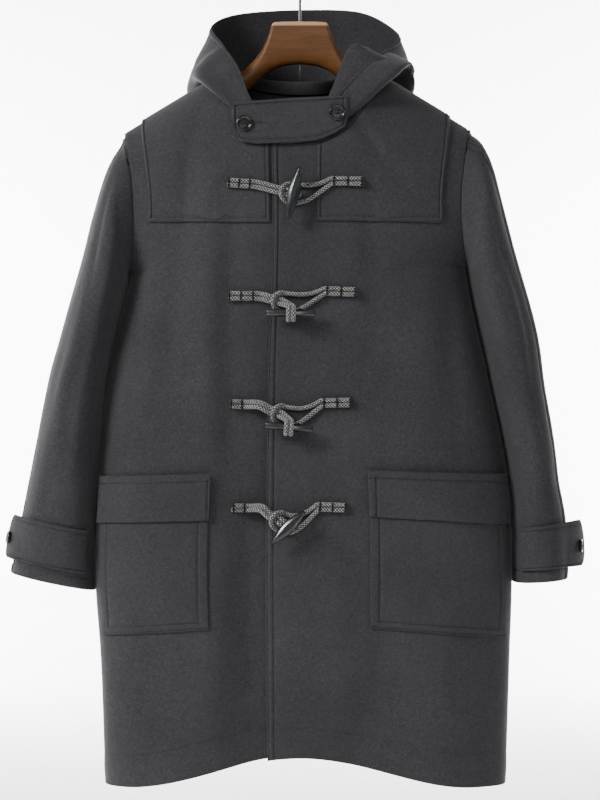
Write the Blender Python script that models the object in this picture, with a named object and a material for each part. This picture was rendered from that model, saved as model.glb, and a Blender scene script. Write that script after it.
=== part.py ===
"""A duffle coat of thick milled wool on a wooden hanger, hanging by the hanger's hook.

Metres, +Z up, +X to the viewer's right as the coat is seen from the front, the front facing -Y. The origin
is the top of the inside of the hook, where a rail would carry it.

Every cloth piece is a wall of one thickness. Its inner face lies on a surface worked out from the coat's
sizes, and its outer face is that surface moved out along its normals. What lies on a panel starts from the
panel's own surface.
"""

import math

import bpy
import numpy as np

# ---- Driving sizes ---------------------------------------------------------------------------------------
CLOTH = 0.0026  # thickness of the milled wool
GAP = 0.0003  # between two pieces at a seam, or one on the other
LAYER = CLOTH + GAP  # what each piece laid on another adds

SHOULDER_PEAK = -0.097  # height at which the two shoulder lines would meet over the neck
SHOULDER_FALL = 0.60  # drop of the shoulder line for each metre out
SHOULDER_ROLL = 0.100  # drop in which the cloth rolls from the shoulder seam to its full depth
ARMHOLE_DEPTH = 0.062  # half the armhole, front to back; it is two shoulder rolls high
SIDE_ROUND = 3.2  # power of the rounding at the body's sides
FLATNESS = 3.6  # body's half width over its half depth, for even columns

NECK_HALF = 0.100
NECK_DROP = {"front": 0.105, "back": 0.022}  # from the side of the neck to its middle
OPENING_EDGE = -0.163  # edge of the upper front, as a share of the body's half width
UNDER_EDGE = 0.190  # edge of the front beneath it
HEM_MIDDLE = -1.100
HEM_RISE = 0.043  # the hem's sides hang this much lower than its middle
HEM_SPREAD = 0.240
HEM_BACK = 0.014

FRONT, BACK = -1.0, 1.0

# The body's sizes at each height: half widths to the viewer's left and right, and depths to the front and
# the back.
BODY_COLUMNS = ("z", "left", "right", "front", "back")
BODY_ROWS = [
    (-1.150, 0.268, 0.283, 0.070, 0.064),  # hem
    (-0.960, 0.275, 0.289, 0.073, 0.067),  # skirt
    (-0.860, 0.282, 0.292, 0.075, 0.069),  # pocket mouths
    (-0.720, 0.277, 0.286, 0.077, 0.071),  # hips
    (-0.560, 0.262, 0.254, 0.080, 0.074),  # waist
    (-0.442, 0.234, 0.229, 0.083, 0.077),  # underarm
    (-0.342, 0.227, 0.219, 0.083, 0.075),  # chest
    (-0.242, 0.240, 0.2305, 0.078, 0.070),  # shoulder tips
]

# A sleeve from the armhole to the cuff: its outer line, the height of its inner line, and half its depth.
SLEEVE_COLUMNS = ("out_x", "out_z", "in_z", "depth")
SLEEVE_ROWS = {
    "left": [
        (0.2412, -0.2414, -0.4385, 0.062),  # armhole
        (0.2475, -0.2551, -0.4445, 0.067),
        (0.2575, -0.2768, -0.4500, 0.074),
        (0.2700, -0.3080, -0.4590, 0.080),
        (0.2860, -0.3640, -0.4700, 0.083),
        (0.2990, -0.4168, -0.4870, 0.083),
        (0.3150, -0.4726, -0.5270, 0.082),
        (0.3306, -0.5284, -0.5720, 0.080),
        (0.3459, -0.5841, -0.6190, 0.076),
        (0.3626, -0.6678, -0.6950, 0.070),
        (0.3738, -0.7235, -0.7480, 0.063),
        (0.3850, -0.7793, -0.8010, 0.056),
        (0.3947, -0.8281, -0.8500, 0.049),
        (0.4000, -0.8518, -0.8762, 0.045),  # cuff
    ],
    "right": [
        (0.2317, -0.2356, -0.4328, 0.062),  # armhole
        (0.2400, -0.2440, -0.4390, 0.067),
        (0.2505, -0.2560, -0.4445, 0.074),
        (0.2640, -0.2850, -0.4540, 0.080),
        (0.2800, -0.3450, -0.4650, 0.083),
        (0.2985, -0.4168, -0.4830, 0.083),
        (0.3152, -0.4726, -0.5230, 0.082),
        (0.3290, -0.5284, -0.5680, 0.081),
        (0.3360, -0.5841, -0.6130, 0.079),
        (0.3500, -0.6678, -0.6860, 0.077),
        (0.3570, -0.7235, -0.7370, 0.074),
        (0.3668, -0.7793, -0.7890, 0.070),
        (0.3696, -0.8281, -0.8360, 0.066),
        (0.3696, -0.8587, -0.8643, 0.064),  # cuff
    ],
}
SLEEVE_CLEAR = 0.0022  # between the sleeve and the body beside it
ARMHOLE_SEAM = 0.0036  # the sleeve's edge lies this far outside the panels' edge, where both walls turn
LAID_CLEAR = 0.0002  # more room under a piece laid on a curved panel
OVERARM_SEAM = {"left": 0.20, "right": 0.60}  # radians to the front of the sleeve's outer line
UNDERARM_SEAM = {"left": 0.45, "right": 0.30}  # radians to the front of its inner line

# The hood hangs from the neck. Each row is a section: where it starts on the neck (-1 the left front, 0 the
# middle of the back, 1 the right front), how far out from there and down the inner ply and then the outer
# ply turn over, how far the outer ply swells, and where its rim lies.
HOOD_COLUMNS = ("at", "in_out", "in_down", "out_out", "out_down", "swell", "rim_x", "rim_y", "rim_z")
HOOD_ROWS = [
    (-1.00, 0.003, -0.008, 0.006, -0.010, 0.000, -0.0300, -0.0850, -0.2475),
    (-0.85, 0.022, -0.020, 0.027, -0.024, 0.002, -0.0650, -0.0855, -0.2046),
    (-0.70, 0.030, -0.018, 0.036, -0.026, 0.005, -0.0822, -0.0550, -0.1597),
    (-0.50, 0.042, 0.010, 0.050, 0.003, 0.007, -0.1060, -0.0080, -0.1186),
    (-0.30, 0.060, 0.050, 0.082, 0.036, 0.008, -0.1229, 0.0450, -0.0821),
    (-0.15, 0.046, 0.150, 0.082, 0.138, 0.010, -0.0880, 0.0840, -0.0605),
    (0.00, 0.036, 0.185, 0.074, 0.172, 0.012, 0.0000, 0.1000, -0.0518),
    (0.15, 0.046, 0.150, 0.082, 0.138, 0.010, 0.0880, 0.0860, -0.0580),
    (0.30, 0.060, 0.050, 0.082, 0.036, 0.008, 0.1370, 0.0450, -0.0935),
    (0.50, 0.046, -0.004, 0.056, -0.013, 0.008, 0.1130, -0.0080, -0.1300),
    (0.70, 0.030, -0.033, 0.036, -0.038, 0.004, 0.0785, -0.0555, -0.1625),
    (0.85, 0.016, -0.022, 0.020, -0.026, 0.002, 0.0440, -0.0855, -0.2040),
    (1.00, 0.003, -0.008, 0.006, -0.010, 0.000, 0.0180, -0.0850, -0.2465),
]
HOOD_SEAM_IN = 0.0048  # the hood's seam lies this far inside the panels' neck edge
HOOD_STAND = 0.019  # height at which the hood turns over the neck edge

# Pieces laid on the fronts: layers beneath, inner and outer edge as shares of the half width, then the
# heights of the top and the bottom edge at the inner and the outer end. A height of None follows the
# shoulder and the neck.
PATCH_COLUMNS = ("layers", "inner", "outer", "top_in", "top_out", "low_in", "low_out", "steps")
PATCHES = {
    "yoke_front_left": (1, -0.178, -0.905, None, None, -0.3712, -0.3690, None),
    "yoke_front_right": (1, 0.105, 0.885, None, None, -0.3690, -0.3700, None),
    "pocket_left": (1, -0.447, -0.965, -0.7680, -0.7700, -0.9250, -0.9350, 6),
    "pocket_right": (1, 0.327, 0.965, -0.7620, -0.7700, -0.9225, -0.9385, 6),
    "pocket_flap_left": (2.3, -0.443, -0.972, -0.7122, -0.7167, -0.7760, -0.7810, 4),
    "pocket_flap_right": (2.3, 0.322, 0.972, -0.7072, -0.7145, -0.7704, -0.7828, 4),
}
YOKE_NECK_SETBACK = 0.0070  # the yokes stop this far below the neck edge, under the hood
YOKE_ROW = 0.002  # rows of the panel that end above the yoke's edge gather in steps of this
YOKE_BACK_LOW = -0.368
YOKE_BACK_SHARE = 0.90

# The tab buttoned across the throat, left to right: its top and bottom edge.
THROAT_TAB_COLUMNS = ("x", "top", "bottom")
THROAT_TAB_ROWS = [
    (-0.0925, -0.2170, -0.2250),
    (-0.0905, -0.2105, -0.2440),
    (-0.0800, -0.2075, -0.2620),
    (-0.0580, -0.2060, -0.2645),
    (-0.0100, -0.2025, -0.2635),
    (0.0250, -0.2010, -0.2600),
    (0.0470, -0.2000, -0.2510),
    (0.0610, -0.1995, -0.2410),
    (0.0650, -0.2010, -0.2300),
]
THROAT_TAB_FRONT = -0.0898  # its inner face at the middle
THROAT_TAB_CURVE = 0.25  # how fast its ends turn back
THROAT_BUTTONS = {"left": (-0.0752, -0.2370), "right": (0.0502, -0.2225)}

CUFF_TAB_COLUMNS = ("from_turn", "to_turn", "top", "bottom", "flare", "button_turn")
CUFF_TABS = {
    "left": (2.40, 0.10, 0.835, 0.930, 0.009, 0.32),
    "right": (2.30, 0.10, 0.845, 0.950, 0.018, 0.40),
}
CUFF_TAB_POINT = 0.16  # last share of the tab, which narrows to its point

# The four fastenings, top to bottom. The left rope is sewn down from its far end to where it comes free,
# and carries the toggle. The right one is a loop that hooks over it at hook_x. The toggle's tilt is in
# degrees from +X.
FASTENING_COLUMNS = (
    "far_x", "far_z", "free_x", "free_z", "hook_x", "toggle_x", "toggle_z", "tilt", "wrapped", "length",
    "near_x", "near_z", "end_x", "end_z",
)
FASTENINGS = [
    (-0.0976, -0.3170, -0.0596, -0.3200, -0.0255, -0.0085, -0.3329, 77.0, False, 0.072,
     0.0427, -0.3153, 0.0854, -0.3159),
    (-0.0972, -0.4704, -0.0542, -0.4711, -0.0365, -0.0122, -0.4945, -1.0, True, 0.068,
     0.0335, -0.4643, 0.0764, -0.4657),
    (-0.0951, -0.6174, -0.0549, -0.6188, -0.0365, -0.0150, -0.6485, -5.0, True, 0.066,
     0.0295, -0.6161, 0.0696, -0.6154),
    (-0.0917, -0.7590, -0.0515, -0.7597, -0.0370, -0.0160, -0.7840, 44.0, False, 0.062,
     0.0241, -0.7570, 0.0630, -0.7583),
]
ROPE = 0.0031  # radius of one strand
STRANDS = 0.0034  # half the distance between the two strands
LOOP_HALF = 0.0122  # half the width of the loop where it hooks over the other rope
LOOP_STRAIGHT = 0.022  # length over which the loop follows the other rope
HOOK_RISE = 0.0094  # how far the loop's end stands up to pass over the other rope
TOGGLE_BACK = 0.0138  # room behind a toggle for the ropes that pass there
TOGGLE_WIDE = 0.0088  # half its width across the middle
TOGGLE_THICK = 0.0057  # half its thickness

BUTTON = {"throat": 0.0108, "cuff": 0.0088}  # radii
BUTTON_THICK = 0.0036

# The hanger, from its middle to one end: top, bottom and half the thickness.
HANGER_COLUMNS = ("x", "top", "bottom", "half")
HANGER_ROWS = [
    (0.0000, -0.0850, -0.1436, 0.0120),
    (0.0240, -0.0852, -0.1465, 0.0120),
    (0.0370, -0.0862, -0.1515, 0.0120),
    (0.0400, -0.0895, -0.1532, 0.0120),
    (0.0430, -0.1030, -0.1550, 0.0122),
    (0.0530, -0.1240, -0.1630, 0.0128),
    (0.0660, -0.1412, -0.1760, 0.0136),
    (0.0836, -0.1562, -0.1890, 0.0150),
    (0.1200, -0.1738, -0.2090, 0.0160),
    (0.1600, -0.1950, -0.2270, 0.0170),
    (0.2000, -0.2195, -0.2460, 0.0170),
    (0.2130, -0.2285, -0.2480, 0.0150),
    (0.2180, -0.2320, -0.2440, 0.0090),
]
HOOK_WIRE = 0.0020
HOOK_INSIDE = 0.0190  # radius of the inside of the hook


# ---- Curves and surfaces ---------------------------------------------------------------------------------
def column(columns, rows, name):
    return np.array([row[columns.index(name)] for row in rows], float)


def smooth_curve(at, places, values):
    """A curve through the values: cubic between its rows, with each row's slope from its two neighbours."""
    slopes = np.gradient(values, places, axis=0)
    at = np.clip(at, places[0], places[-1])
    row = np.clip(np.searchsorted(places, at, side="right") - 1, 0, len(places) - 2)
    step = places[row + 1] - places[row]
    t = (at - places[row]) / step
    if values.ndim > 1:
        t, step = t[..., None], step[..., None]
    return (
        (2 * t**3 - 3 * t**2 + 1) * values[row]
        + (t**3 - 2 * t**2 + t) * step * slopes[row]
        + (3 * t**2 - 2 * t**3) * values[row + 1]
        + (t**3 - t**2) * step * slopes[row + 1]
    )


def ease(t):
    """Rises from 0 to 1 with flat ends."""
    t = np.clip(t, 0, 1)
    return t * t * (3 - 2 * t)


def body_size(name, z):
    return smooth_curve(z, column(BODY_COLUMNS, BODY_ROWS, "z"), column(BODY_COLUMNS, BODY_ROWS, name))


def half_width(side, z):
    """Half width on the side that the sign of side names."""
    return np.where(side < 0, body_size("left", z), body_size("right", z))


TURN = np.linspace(0, math.pi / 2, 1201)
TURN_REACH = np.sin(TURN) ** (2 / SIDE_ROUND)
TURN_FULL = np.cos(TURN) ** (2 / SIDE_ROUND)
TURN_FULL[-1] = 0.0
TURN_STEPS = np.hypot(np.diff(TURN_REACH) * FLATNESS, np.diff(TURN_FULL))
TURN_WAY = np.concatenate([[0], np.cumsum(TURN_STEPS)]) / TURN_STEPS.sum()


def around(share):
    """How far round the body, from 0 at its middle to 1 at the side seam, a share of the half width is."""
    return np.sign(share) * np.interp(np.abs(share), TURN_REACH, TURN_WAY)


def shoulder_height(x):
    return SHOULDER_PEAK - SHOULDER_FALL * np.abs(x)


def neck_height(x, face):
    drop = NECK_DROP["front" if face == FRONT else "back"]
    side = shoulder_height(NECK_HALF)
    return side - drop * np.sqrt(np.clip(1 - (x / NECK_HALF) ** 2, 0, 1))


def top_height(u, face):
    """The upper edge of a panel: the neck, then the shoulder seam."""
    x = np.interp(np.abs(u), TURN_WAY, TURN_REACH) * half_width(u, BODY_ROWS[-1][0] + 0 * u)
    return np.where(x < NECK_HALF, neck_height(x, face), shoulder_height(x))


def hem_height(u, face):
    x = np.interp(np.abs(u), TURN_WAY, TURN_REACH) * half_width(u, BODY_ROWS[0][0] + 0 * u)
    if face == FRONT:
        return HEM_MIDDLE - HEM_RISE * ease(x / HEM_SPREAD)
    return HEM_MIDDLE - HEM_BACK - (HEM_RISE - HEM_BACK) * ease(x / HEM_SPREAD)


def folds(u, z, face):
    """The largest folds: soft flutes that grow towards the hem and die out at the side seams."""
    fall = ease((-0.50 - z) / 0.60)
    if face == FRONT:
        return 0.0022 * fall * np.cos(3.1 * math.pi * u + 0.5)
    upper = 0.0030 * ease((-0.26 - z) / 0.12) * np.cos(2.0 * math.pi * u)
    return 0.0060 * fall * np.cos(4.0 * math.pi * u) + upper


def body_point(u, z, face):
    """The body's surface. u runs round it from the left side seam (-1) to the right one (1).

    A row at one height is half an oval. Near the shoulder seam its depth shrinks like a quarter circle, and
    beside the armhole its edge stands out from the middle plane by the armhole's own oval.
    """
    reach = np.interp(np.abs(u), TURN_WAY, TURN_REACH)
    full = np.interp(np.abs(u), TURN_WAY, TURN_FULL)
    half = half_width(u, z)
    x = reach * half
    drop = np.clip((shoulder_height(x) - z) / SHOULDER_ROLL, 0, 1)
    roll = np.sqrt(1 - (1 - drop) ** 2)
    middle = shoulder_height(half_width(u, BODY_ROWS[-1][0] + 0 * z)) - SHOULDER_ROLL
    arm = np.sqrt(np.clip(1 - ((z - middle) / SHOULDER_ROLL) ** 2, 0, 1))
    full = full ** (1 + (SIDE_ROUND - 1) * arm)
    depth = body_size("front" if face == FRONT else "back", z) + folds(u, z, face)
    y = depth * full * roll + (1 - full) * ARMHOLE_DEPTH * arm
    return np.stack([np.sign(u) * x, face * (y + 0.7 * GAP), z], axis=-1)


def normals(surface, a, b, step_a, step_b):
    """Unit normals of a surface of two parameters, from points a small step to each side."""
    along_a = surface(np.minimum(a + step_a, 1), b) - surface(np.maximum(a - step_a, -1), b)
    along_b = surface(a, b + step_b) - surface(a, b - step_b)
    normal = np.cross(along_a, along_b)
    return normal / np.linalg.norm(normal, axis=-1, keepdims=True)


def body_walls(u, z, face, lift):
    """The inner and the outer face of a piece that lies lift above the body's surface."""
    normal = normals(lambda a, b: body_point(a, b, face), u, z, 2e-4, 2e-5)
    point = body_point(u, z, face)
    outward = np.sum(normal * (point - [0, 0, -0.6]) * [1, 1, 0.02], axis=-1, keepdims=True)
    normal = normal * np.where(outward < 0, -1.0, 1.0)
    lift = np.asarray(lift)[..., None] if np.ndim(lift) else lift
    return point + normal * lift, point + normal * (lift + CLOTH)


# ---- Meshes ----------------------------------------------------------------------------------------------
def material(name, color, roughness, metallic=0.0):
    made = bpy.data.materials.new(name)
    made.use_nodes = True
    shader = made.node_tree.nodes["Principled BSDF"]
    shader.inputs["Base Color"].default_value = (*color, 1.0)
    shader.inputs["Roughness"].default_value = roughness
    shader.inputs["Metallic"].default_value = metallic
    made.diffuse_color = (*color, 1.0)
    return made


def signed_volume(points, faces):
    total = 0.0
    for face in faces:
        for second, third in zip(face[1:-1], face[2:]):
            total += np.dot(points[face[0]], np.cross(points[second], points[third]))
    return total


def add_mesh(name, points, faces, finish):
    """One closed solid with its faces turned outwards."""
    points = np.asarray(points, float)
    if signed_volume(points, faces) < 0:
        faces = [tuple(reversed(face)) for face in faces]
    mesh = bpy.data.meshes.new(name)
    mesh.from_pydata(points.tolist(), [], faces)
    mesh.shade_smooth()
    mesh.set_sharp_from_angle(angle=math.radians(40))
    mesh.materials.append(finish)
    made = bpy.data.objects.new(name, mesh)
    bpy.context.scene.collection.objects.link(made)
    return made


def wall(name, inner, outer, finish):
    """A closed wall between two grids of points, cut along the same diagonals on both faces."""
    rows, columns = inner.shape[:2]
    points = np.concatenate([inner.reshape(-1, 3), outer.reshape(-1, 3)])
    far = rows * columns
    faces = []
    for i in range(rows - 1):
        for j in range(columns - 1):
            a = i * columns + j
            b, c, d = a + 1, a + columns + 1, a + columns
            faces += [(a, b, c), (a, c, d), (far + c, far + b, far + a), (far + d, far + c, far + a)]
    edge = [j for j in range(columns)]
    edge += [i * columns + columns - 1 for i in range(1, rows)]
    edge += [(rows - 1) * columns + j for j in range(columns - 2, -1, -1)]
    edge += [i * columns for i in range(rows - 2, 0, -1)]
    for this, following in zip(edge, edge[1:] + edge[:1]):
        faces.append((following, this, far + this, far + following))
    return add_mesh(name, points, faces, finish)


def loft(name, rings, finish):
    """A solid skinned over closed rings, with flat ends."""
    count = rings.shape[1]
    faces = []
    for i in range(len(rings) - 1):
        for j in range(count):
            after = (j + 1) % count
            faces.append((i * count + j, i * count + after, (i + 1) * count + after, (i + 1) * count + j))
    faces.append(tuple(range(count - 1, -1, -1)))
    faces.append(tuple((len(rings) - 1) * count + j for j in range(count)))
    return add_mesh(name, rings.reshape(-1, 3), faces, finish)


def tube(name, path, radius, sides, finish):
    """A round tube along a path, with rings that keep their turn from one point to the next."""
    path = np.asarray(path, float)
    ahead = np.gradient(path, axis=0)
    ahead /= np.linalg.norm(ahead, axis=1, keepdims=True)
    across = np.cross(ahead[0], [0.3, 0.5, 0.81])
    turns = np.linspace(0, 2 * math.pi, sides, endpoint=False)
    rings = []
    for point, tangent in zip(path, ahead):
        across = across - tangent * np.dot(across, tangent)
        across /= np.linalg.norm(across)
        beside = np.cross(tangent, across)
        rings.append(point + radius * (np.outer(np.cos(turns), across) + np.outer(np.sin(turns), beside)))
    return loft(name, np.array(rings), finish)


def oval(turn, power):
    """A point on an oval of half sizes 1, squarer as the power grows."""
    across, along = np.cos(turn), np.sin(turn)
    return np.sign(across) * np.abs(across) ** (2 / power), np.sign(along) * np.abs(along) ** (2 / power)


# ---- The body's panels -----------------------------------------------------------------------------------
ROLL_ROWS = 9
LOWER_ROWS = 10


def panel_heights(u, face):
    """Rows of heights, close together where the shoulder rolls and where the armhole closes."""
    top = top_height(u, face)[None, :]
    hem = hem_height(u, face)[None, :]
    fall = SHOULDER_ROLL * (1 - np.cos(np.linspace(0, math.pi, ROLL_ROWS)))[:, None]
    below = np.linspace(0, 1, LOWER_ROWS)[1:, None]
    start = top - fall[-1]
    return np.concatenate([top - fall, start + (hem - start) * below])


def panel_columns(side, tip):
    """Columns from the side seam to the middle, close together where the neck turns up."""
    neck = around(np.sin(np.linspace(math.pi / 2, 0, 6)) * NECK_HALF / tip)
    return side * np.concatenate([np.linspace(1, neck[0], 7)[:-1], neck])


def front_lift(u):
    """The upper front lies on the other one past the middle and comes down to its own level beyond it."""
    return LAYER * (1 - ease((u - 0.26) / 0.16))


def build_body(wool):
    left_tip, right_tip = BODY_ROWS[-1][1], BODY_ROWS[-1][2]
    left = panel_columns(-1, left_tip)
    right = panel_columns(1, right_tip)[::-1]
    pieces = {
        "front_left": (np.concatenate([left, around(np.array([0.09, UNDER_EDGE]))]), FRONT, False),
        "front_right": (np.concatenate([around(np.array([OPENING_EDGE, -0.08])), right]), FRONT, True),
        "back": (np.concatenate([left, right[1:]]), BACK, False),
    }
    for name, (u, face, over) in pieces.items():
        z = panel_heights(u, face)
        grid = np.broadcast_to(u, z.shape)
        inner, outer = body_walls(grid, z, face, front_lift(grid) if over else 0.0)
        wall(name, inner, outer, wool)


def columns_between(first, last):
    """The body's own columns between two edges: a piece laid on a panel runs parallel with its faces."""
    ends = around(np.array([first, last]))
    tips = {-1: BODY_ROWS[-1][1], 1: BODY_ROWS[-1][2]}
    own = np.concatenate([panel_columns(side, tips[side]) for side in (-1, 1)])
    inside = np.unique(own[(own > ends.min() + 0.012) & (own < ends.max() - 0.012)])
    return np.concatenate([[ends.min()], inside, [ends.max()]])


def yoke_heights(top, low):
    """The panel's own rows from the top down, and the yoke's lower edge."""
    fall = SHOULDER_ROLL * (1 - np.cos(np.linspace(0, math.pi, ROLL_ROWS)))[:, None]
    above_edge = YOKE_ROW * np.arange(ROLL_ROWS - 1, -1, -1)[:, None]
    rows = np.maximum(top - fall, low + above_edge)
    rows[-1] = low
    return rows


def patch_grid(name):
    """Positions round the body and heights of a piece laid on a front."""
    row = dict(zip(PATCH_COLUMNS, PATCHES[name]))
    u = columns_between(row["inner"], row["outer"])
    share = (u - around(row["inner"])) / (around(row["outer"]) - around(row["inner"]))
    low = row["low_in"] + (row["low_out"] - row["low_in"]) * share
    if row["top_in"] is None:
        x = np.interp(np.abs(u), TURN_WAY, TURN_REACH) * half_width(u, BODY_ROWS[-1][0] + 0 * u)
        z = yoke_heights(top_height(u, FRONT), low)
        z[0] -= YOKE_NECK_SETBACK * (x < NECK_HALF + 0.002)
    else:
        top = row["top_in"] + (row["top_out"] - row["top_in"]) * share
        z = top + (low - top) * np.linspace(0, 1, row["steps"])[:, None]
    lift = row["layers"] * (LAYER + LAID_CLEAR) + (front_lift(u) if row["inner"] > 0 else 0 * u)
    return np.broadcast_to(u, z.shape), z, np.broadcast_to(lift, z.shape)


def build_patches(wool):
    for name in PATCHES:
        u, z, lift = patch_grid(name)
        inner, outer = body_walls(u, z, FRONT, lift)
        wall(name, inner, outer, wool)
    u = columns_between(-YOKE_BACK_SHARE, YOKE_BACK_SHARE)
    x = np.interp(np.abs(u), TURN_WAY, TURN_REACH) * half_width(u, BODY_ROWS[-1][0] + 0 * u)
    z = yoke_heights(top_height(u, BACK), YOKE_BACK_LOW + 0 * u)
    z[0] -= YOKE_NECK_SETBACK * (x < NECK_HALF + 0.002)
    inner, outer = body_walls(np.broadcast_to(u, z.shape), z, BACK, LAYER + LAID_CLEAR)
    wall("yoke_back", inner, outer, wool)


# ---- Sleeves ---------------------------------------------------------------------------------------------
def sleeve_point(side, turn, way):
    """The sleeve's surface: turn is 0 on its outer line and grows over the front, way is 1 at the cuff.

    Each ring is an oval between a point of the outer line and one of the inner line, and the first ring is
    the armhole's own edge.
    """
    rows = SLEEVE_ROWS[side]
    sign = -1.0 if side == "left" else 1.0
    places = np.linspace(0, 1, len(rows))
    out_x, out_z, in_z, depth = (
        smooth_curve(way, places, column(SLEEVE_COLUMNS, rows, name)) for name in SLEEVE_COLUMNS
    )
    start = 1 - ease(way * 6)
    in_x = half_width(sign, in_z) + (2 * CLOTH + SLEEVE_CLEAR) * (1 - start) + (CLOTH + ARMHOLE_SEAM) * start
    across, along = oval(turn, 2.0 + 0.35 * ease(way * 4))
    x = (out_x + in_x) / 2 + (out_x - in_x) / 2 * across
    z = (out_z + in_z) / 2 + (out_z - in_z) / 2 * across
    edge = half_width(sign, z) + ARMHOLE_SEAM + CLOTH * np.clip(-across, 0, 1) ** 4
    x = x + (edge - x) * start
    return np.stack([sign * x, -depth * along, z], axis=-1)


def sleeve_walls(side, turn, way, lift):
    def surface(a, b):
        return sleeve_point(side, a * 4, b)

    normal = normals(surface, turn / 4, way, 1e-4, 1e-4)
    point = sleeve_point(side, turn, way)
    middle = (sleeve_point(side, 0 * turn, way) + sleeve_point(side, 0 * turn + math.pi, way)) / 2
    inward = np.sum(normal * (point - middle), axis=-1, keepdims=True) < 0
    normal = np.where(inward, -normal, normal)
    lift = np.asarray(lift)[..., None] if np.ndim(lift) else lift
    return point + normal * lift, point + normal * (lift + CLOTH)


SLEEVE_RINGS = 15
SLEEVE_TURNS = 9


def build_sleeves(wool):
    way = np.linspace(0.0005, 0.9995, SLEEVE_RINGS)[:, None]
    for side in ("left", "right"):
        over, under = OVERARM_SEAM[side], math.pi - UNDERARM_SEAM[side]
        seam = 0.018
        halves = {"front": (over + seam, under - seam), "back": (under + seam - 2 * math.pi, over - seam)}
        for half, (start, end) in halves.items():
            turn = np.linspace(start, end, SLEEVE_TURNS)[None, :]
            grid = np.broadcast_to(turn, (SLEEVE_RINGS, SLEEVE_TURNS))
            rings = np.broadcast_to(way, grid.shape)
            inner, outer = sleeve_walls(side, grid, rings, 0.0)
            wall(f"sleeve_{half}_{side}", inner, outer, wool)


# ---- Hood ------------------------------------------------------------------------------------------------
def neck_point(at):
    """A point on the neck edge and the level direction away from the neck there."""
    back = np.abs(at) < 0.5
    front_turn = (np.abs(at) - 0.5) * 0.9 * math.pi
    x = NECK_HALF * np.where(back, np.sin(at * math.pi), np.sign(at) * np.cos(front_turn))
    points = []
    for face in (FRONT, BACK):
        z = neck_height(x, face)
        u = around(x / half_width(x, z))
        points.append(body_point(u, z, face))
    point = np.where(back[..., None], points[1], points[0])
    weight = np.where(back, 1.2, 0.15)
    out = np.stack([point[..., 0], point[..., 1] * weight, 0 * at], axis=-1)
    return point, out / np.linalg.norm(out, axis=-1, keepdims=True)


HOOD_PLY_POINTS = 15
HOOD_SECTIONS = 13


def hood_section(at):
    """The hood over one station: up inside the neck edge, over it, out and down, and up to the rim."""
    places = column(HOOD_COLUMNS, HOOD_ROWS, "at")
    size = {}
    for name in HOOD_COLUMNS:
        size[name] = smooth_curve(at, places, column(HOOD_COLUMNS, HOOD_ROWS, name))[..., None]
    neck, out = neck_point(at)
    up = np.array([0, 0, 1.0])
    rim = np.concatenate([size["rim_x"], size["rim_y"], size["rim_z"]], axis=-1)
    rise = size["rim_z"] - neck[..., 2:3]
    stand = np.clip(0.35 * rise, 0.80 * np.minimum(rise, 0.020), HOOD_STAND)
    inward = neck * [-1.0, -1.0, 0.0]
    base = neck + inward / np.linalg.norm(inward, axis=-1, keepdims=True) * HOOD_SEAM_IN
    inner = neck + out * size["in_out"] - up * size["in_down"]
    outer = neck + out * size["out_out"] - up * size["out_down"]
    bend = np.minimum(size["in_out"] * 0.35, 0.014)
    controls = [
        base,
        base + up * stand * 0.7,
        neck + out * bend * 0.35 + up * stand,
        neck + out * bend + up * stand * 0.8,
        inner,
        outer,
        (outer + rim) / 2 + out * size["swell"],
        rim,
    ]
    return np.stack(controls, axis=0)


def hood_points(at, rows):
    """Even steps along the smooth section over each station."""
    controls = hood_section(at)
    result = []
    for station in range(controls.shape[1]):
        points = controls[:, station]
        chord = np.concatenate([[0], np.cumsum(np.linalg.norm(np.diff(points, axis=0), axis=1) ** 0.6)])
        fine = smooth_curve(np.linspace(0, chord[-1], 160), chord, points)
        way = np.concatenate([[0], np.cumsum(np.linalg.norm(np.diff(fine, axis=0), axis=1))])
        steps = np.linspace(0, way[-1], rows)
        result.append(np.stack([np.interp(steps, way, fine[:, axis]) for axis in range(3)], axis=-1))
    return np.stack(result, axis=1)


def grid_normals(points):
    normal = np.cross(np.gradient(points, axis=0), np.gradient(points, axis=1))
    return normal / np.linalg.norm(normal, axis=-1, keepdims=True)


def build_hood(wool):
    for side, sign in (("left", -1.0), ("right", 1.0)):
        at = np.sort(sign * np.linspace(0, 1, HOOD_SECTIONS))
        points = hood_points(at, HOOD_PLY_POINTS)
        normal = grid_normals(points)
        seam = at == 0
        normal[:, seam, 0] = 0
        points[:, seam, 0] = sign * GAP / 2
        wall(f"hood_{side}", points - normal * CLOTH / 2, points + normal * CLOTH / 2, wool)


# ---- Tabs, buttons, ropes and toggles --------------------------------------------------------------------
def throat_tab_face(x):
    return THROAT_TAB_FRONT + THROAT_TAB_CURVE * x**2


def build_throat_tab(wool):
    x = column(THROAT_TAB_COLUMNS, THROAT_TAB_ROWS, "x")
    top = column(THROAT_TAB_COLUMNS, THROAT_TAB_ROWS, "top")
    bottom = column(THROAT_TAB_COLUMNS, THROAT_TAB_ROWS, "bottom")
    z = top + (bottom - top) * np.linspace(0, 1, 4)[:, None]
    grid = np.broadcast_to(x, z.shape)
    inner = np.stack([grid, throat_tab_face(grid), z], axis=-1)
    wall("throat_tab", inner, inner - np.array([0, CLOTH, 0]), wool)


def button(name, center, facing, radius, finish):
    """A turned disc with a rounded edge, standing on its back at the center."""
    facing = facing / np.linalg.norm(facing)
    across = np.cross(facing, [0, 0, 1.0])
    across /= np.linalg.norm(across)
    beside = np.cross(facing, across)
    turns = np.linspace(0, 2 * math.pi, 16, endpoint=False)
    circle = np.outer(np.cos(turns), across) + np.outer(np.sin(turns), beside)
    profile = [(0.88, 0.0), (1.0, 0.35), (0.97, 0.75), (0.82, 1.0), (0.66, 0.72)]
    rings = [center + circle * radius * share + facing * BUTTON_THICK * height for share, height in profile]
    return loft(name, np.array(rings), finish)


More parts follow.
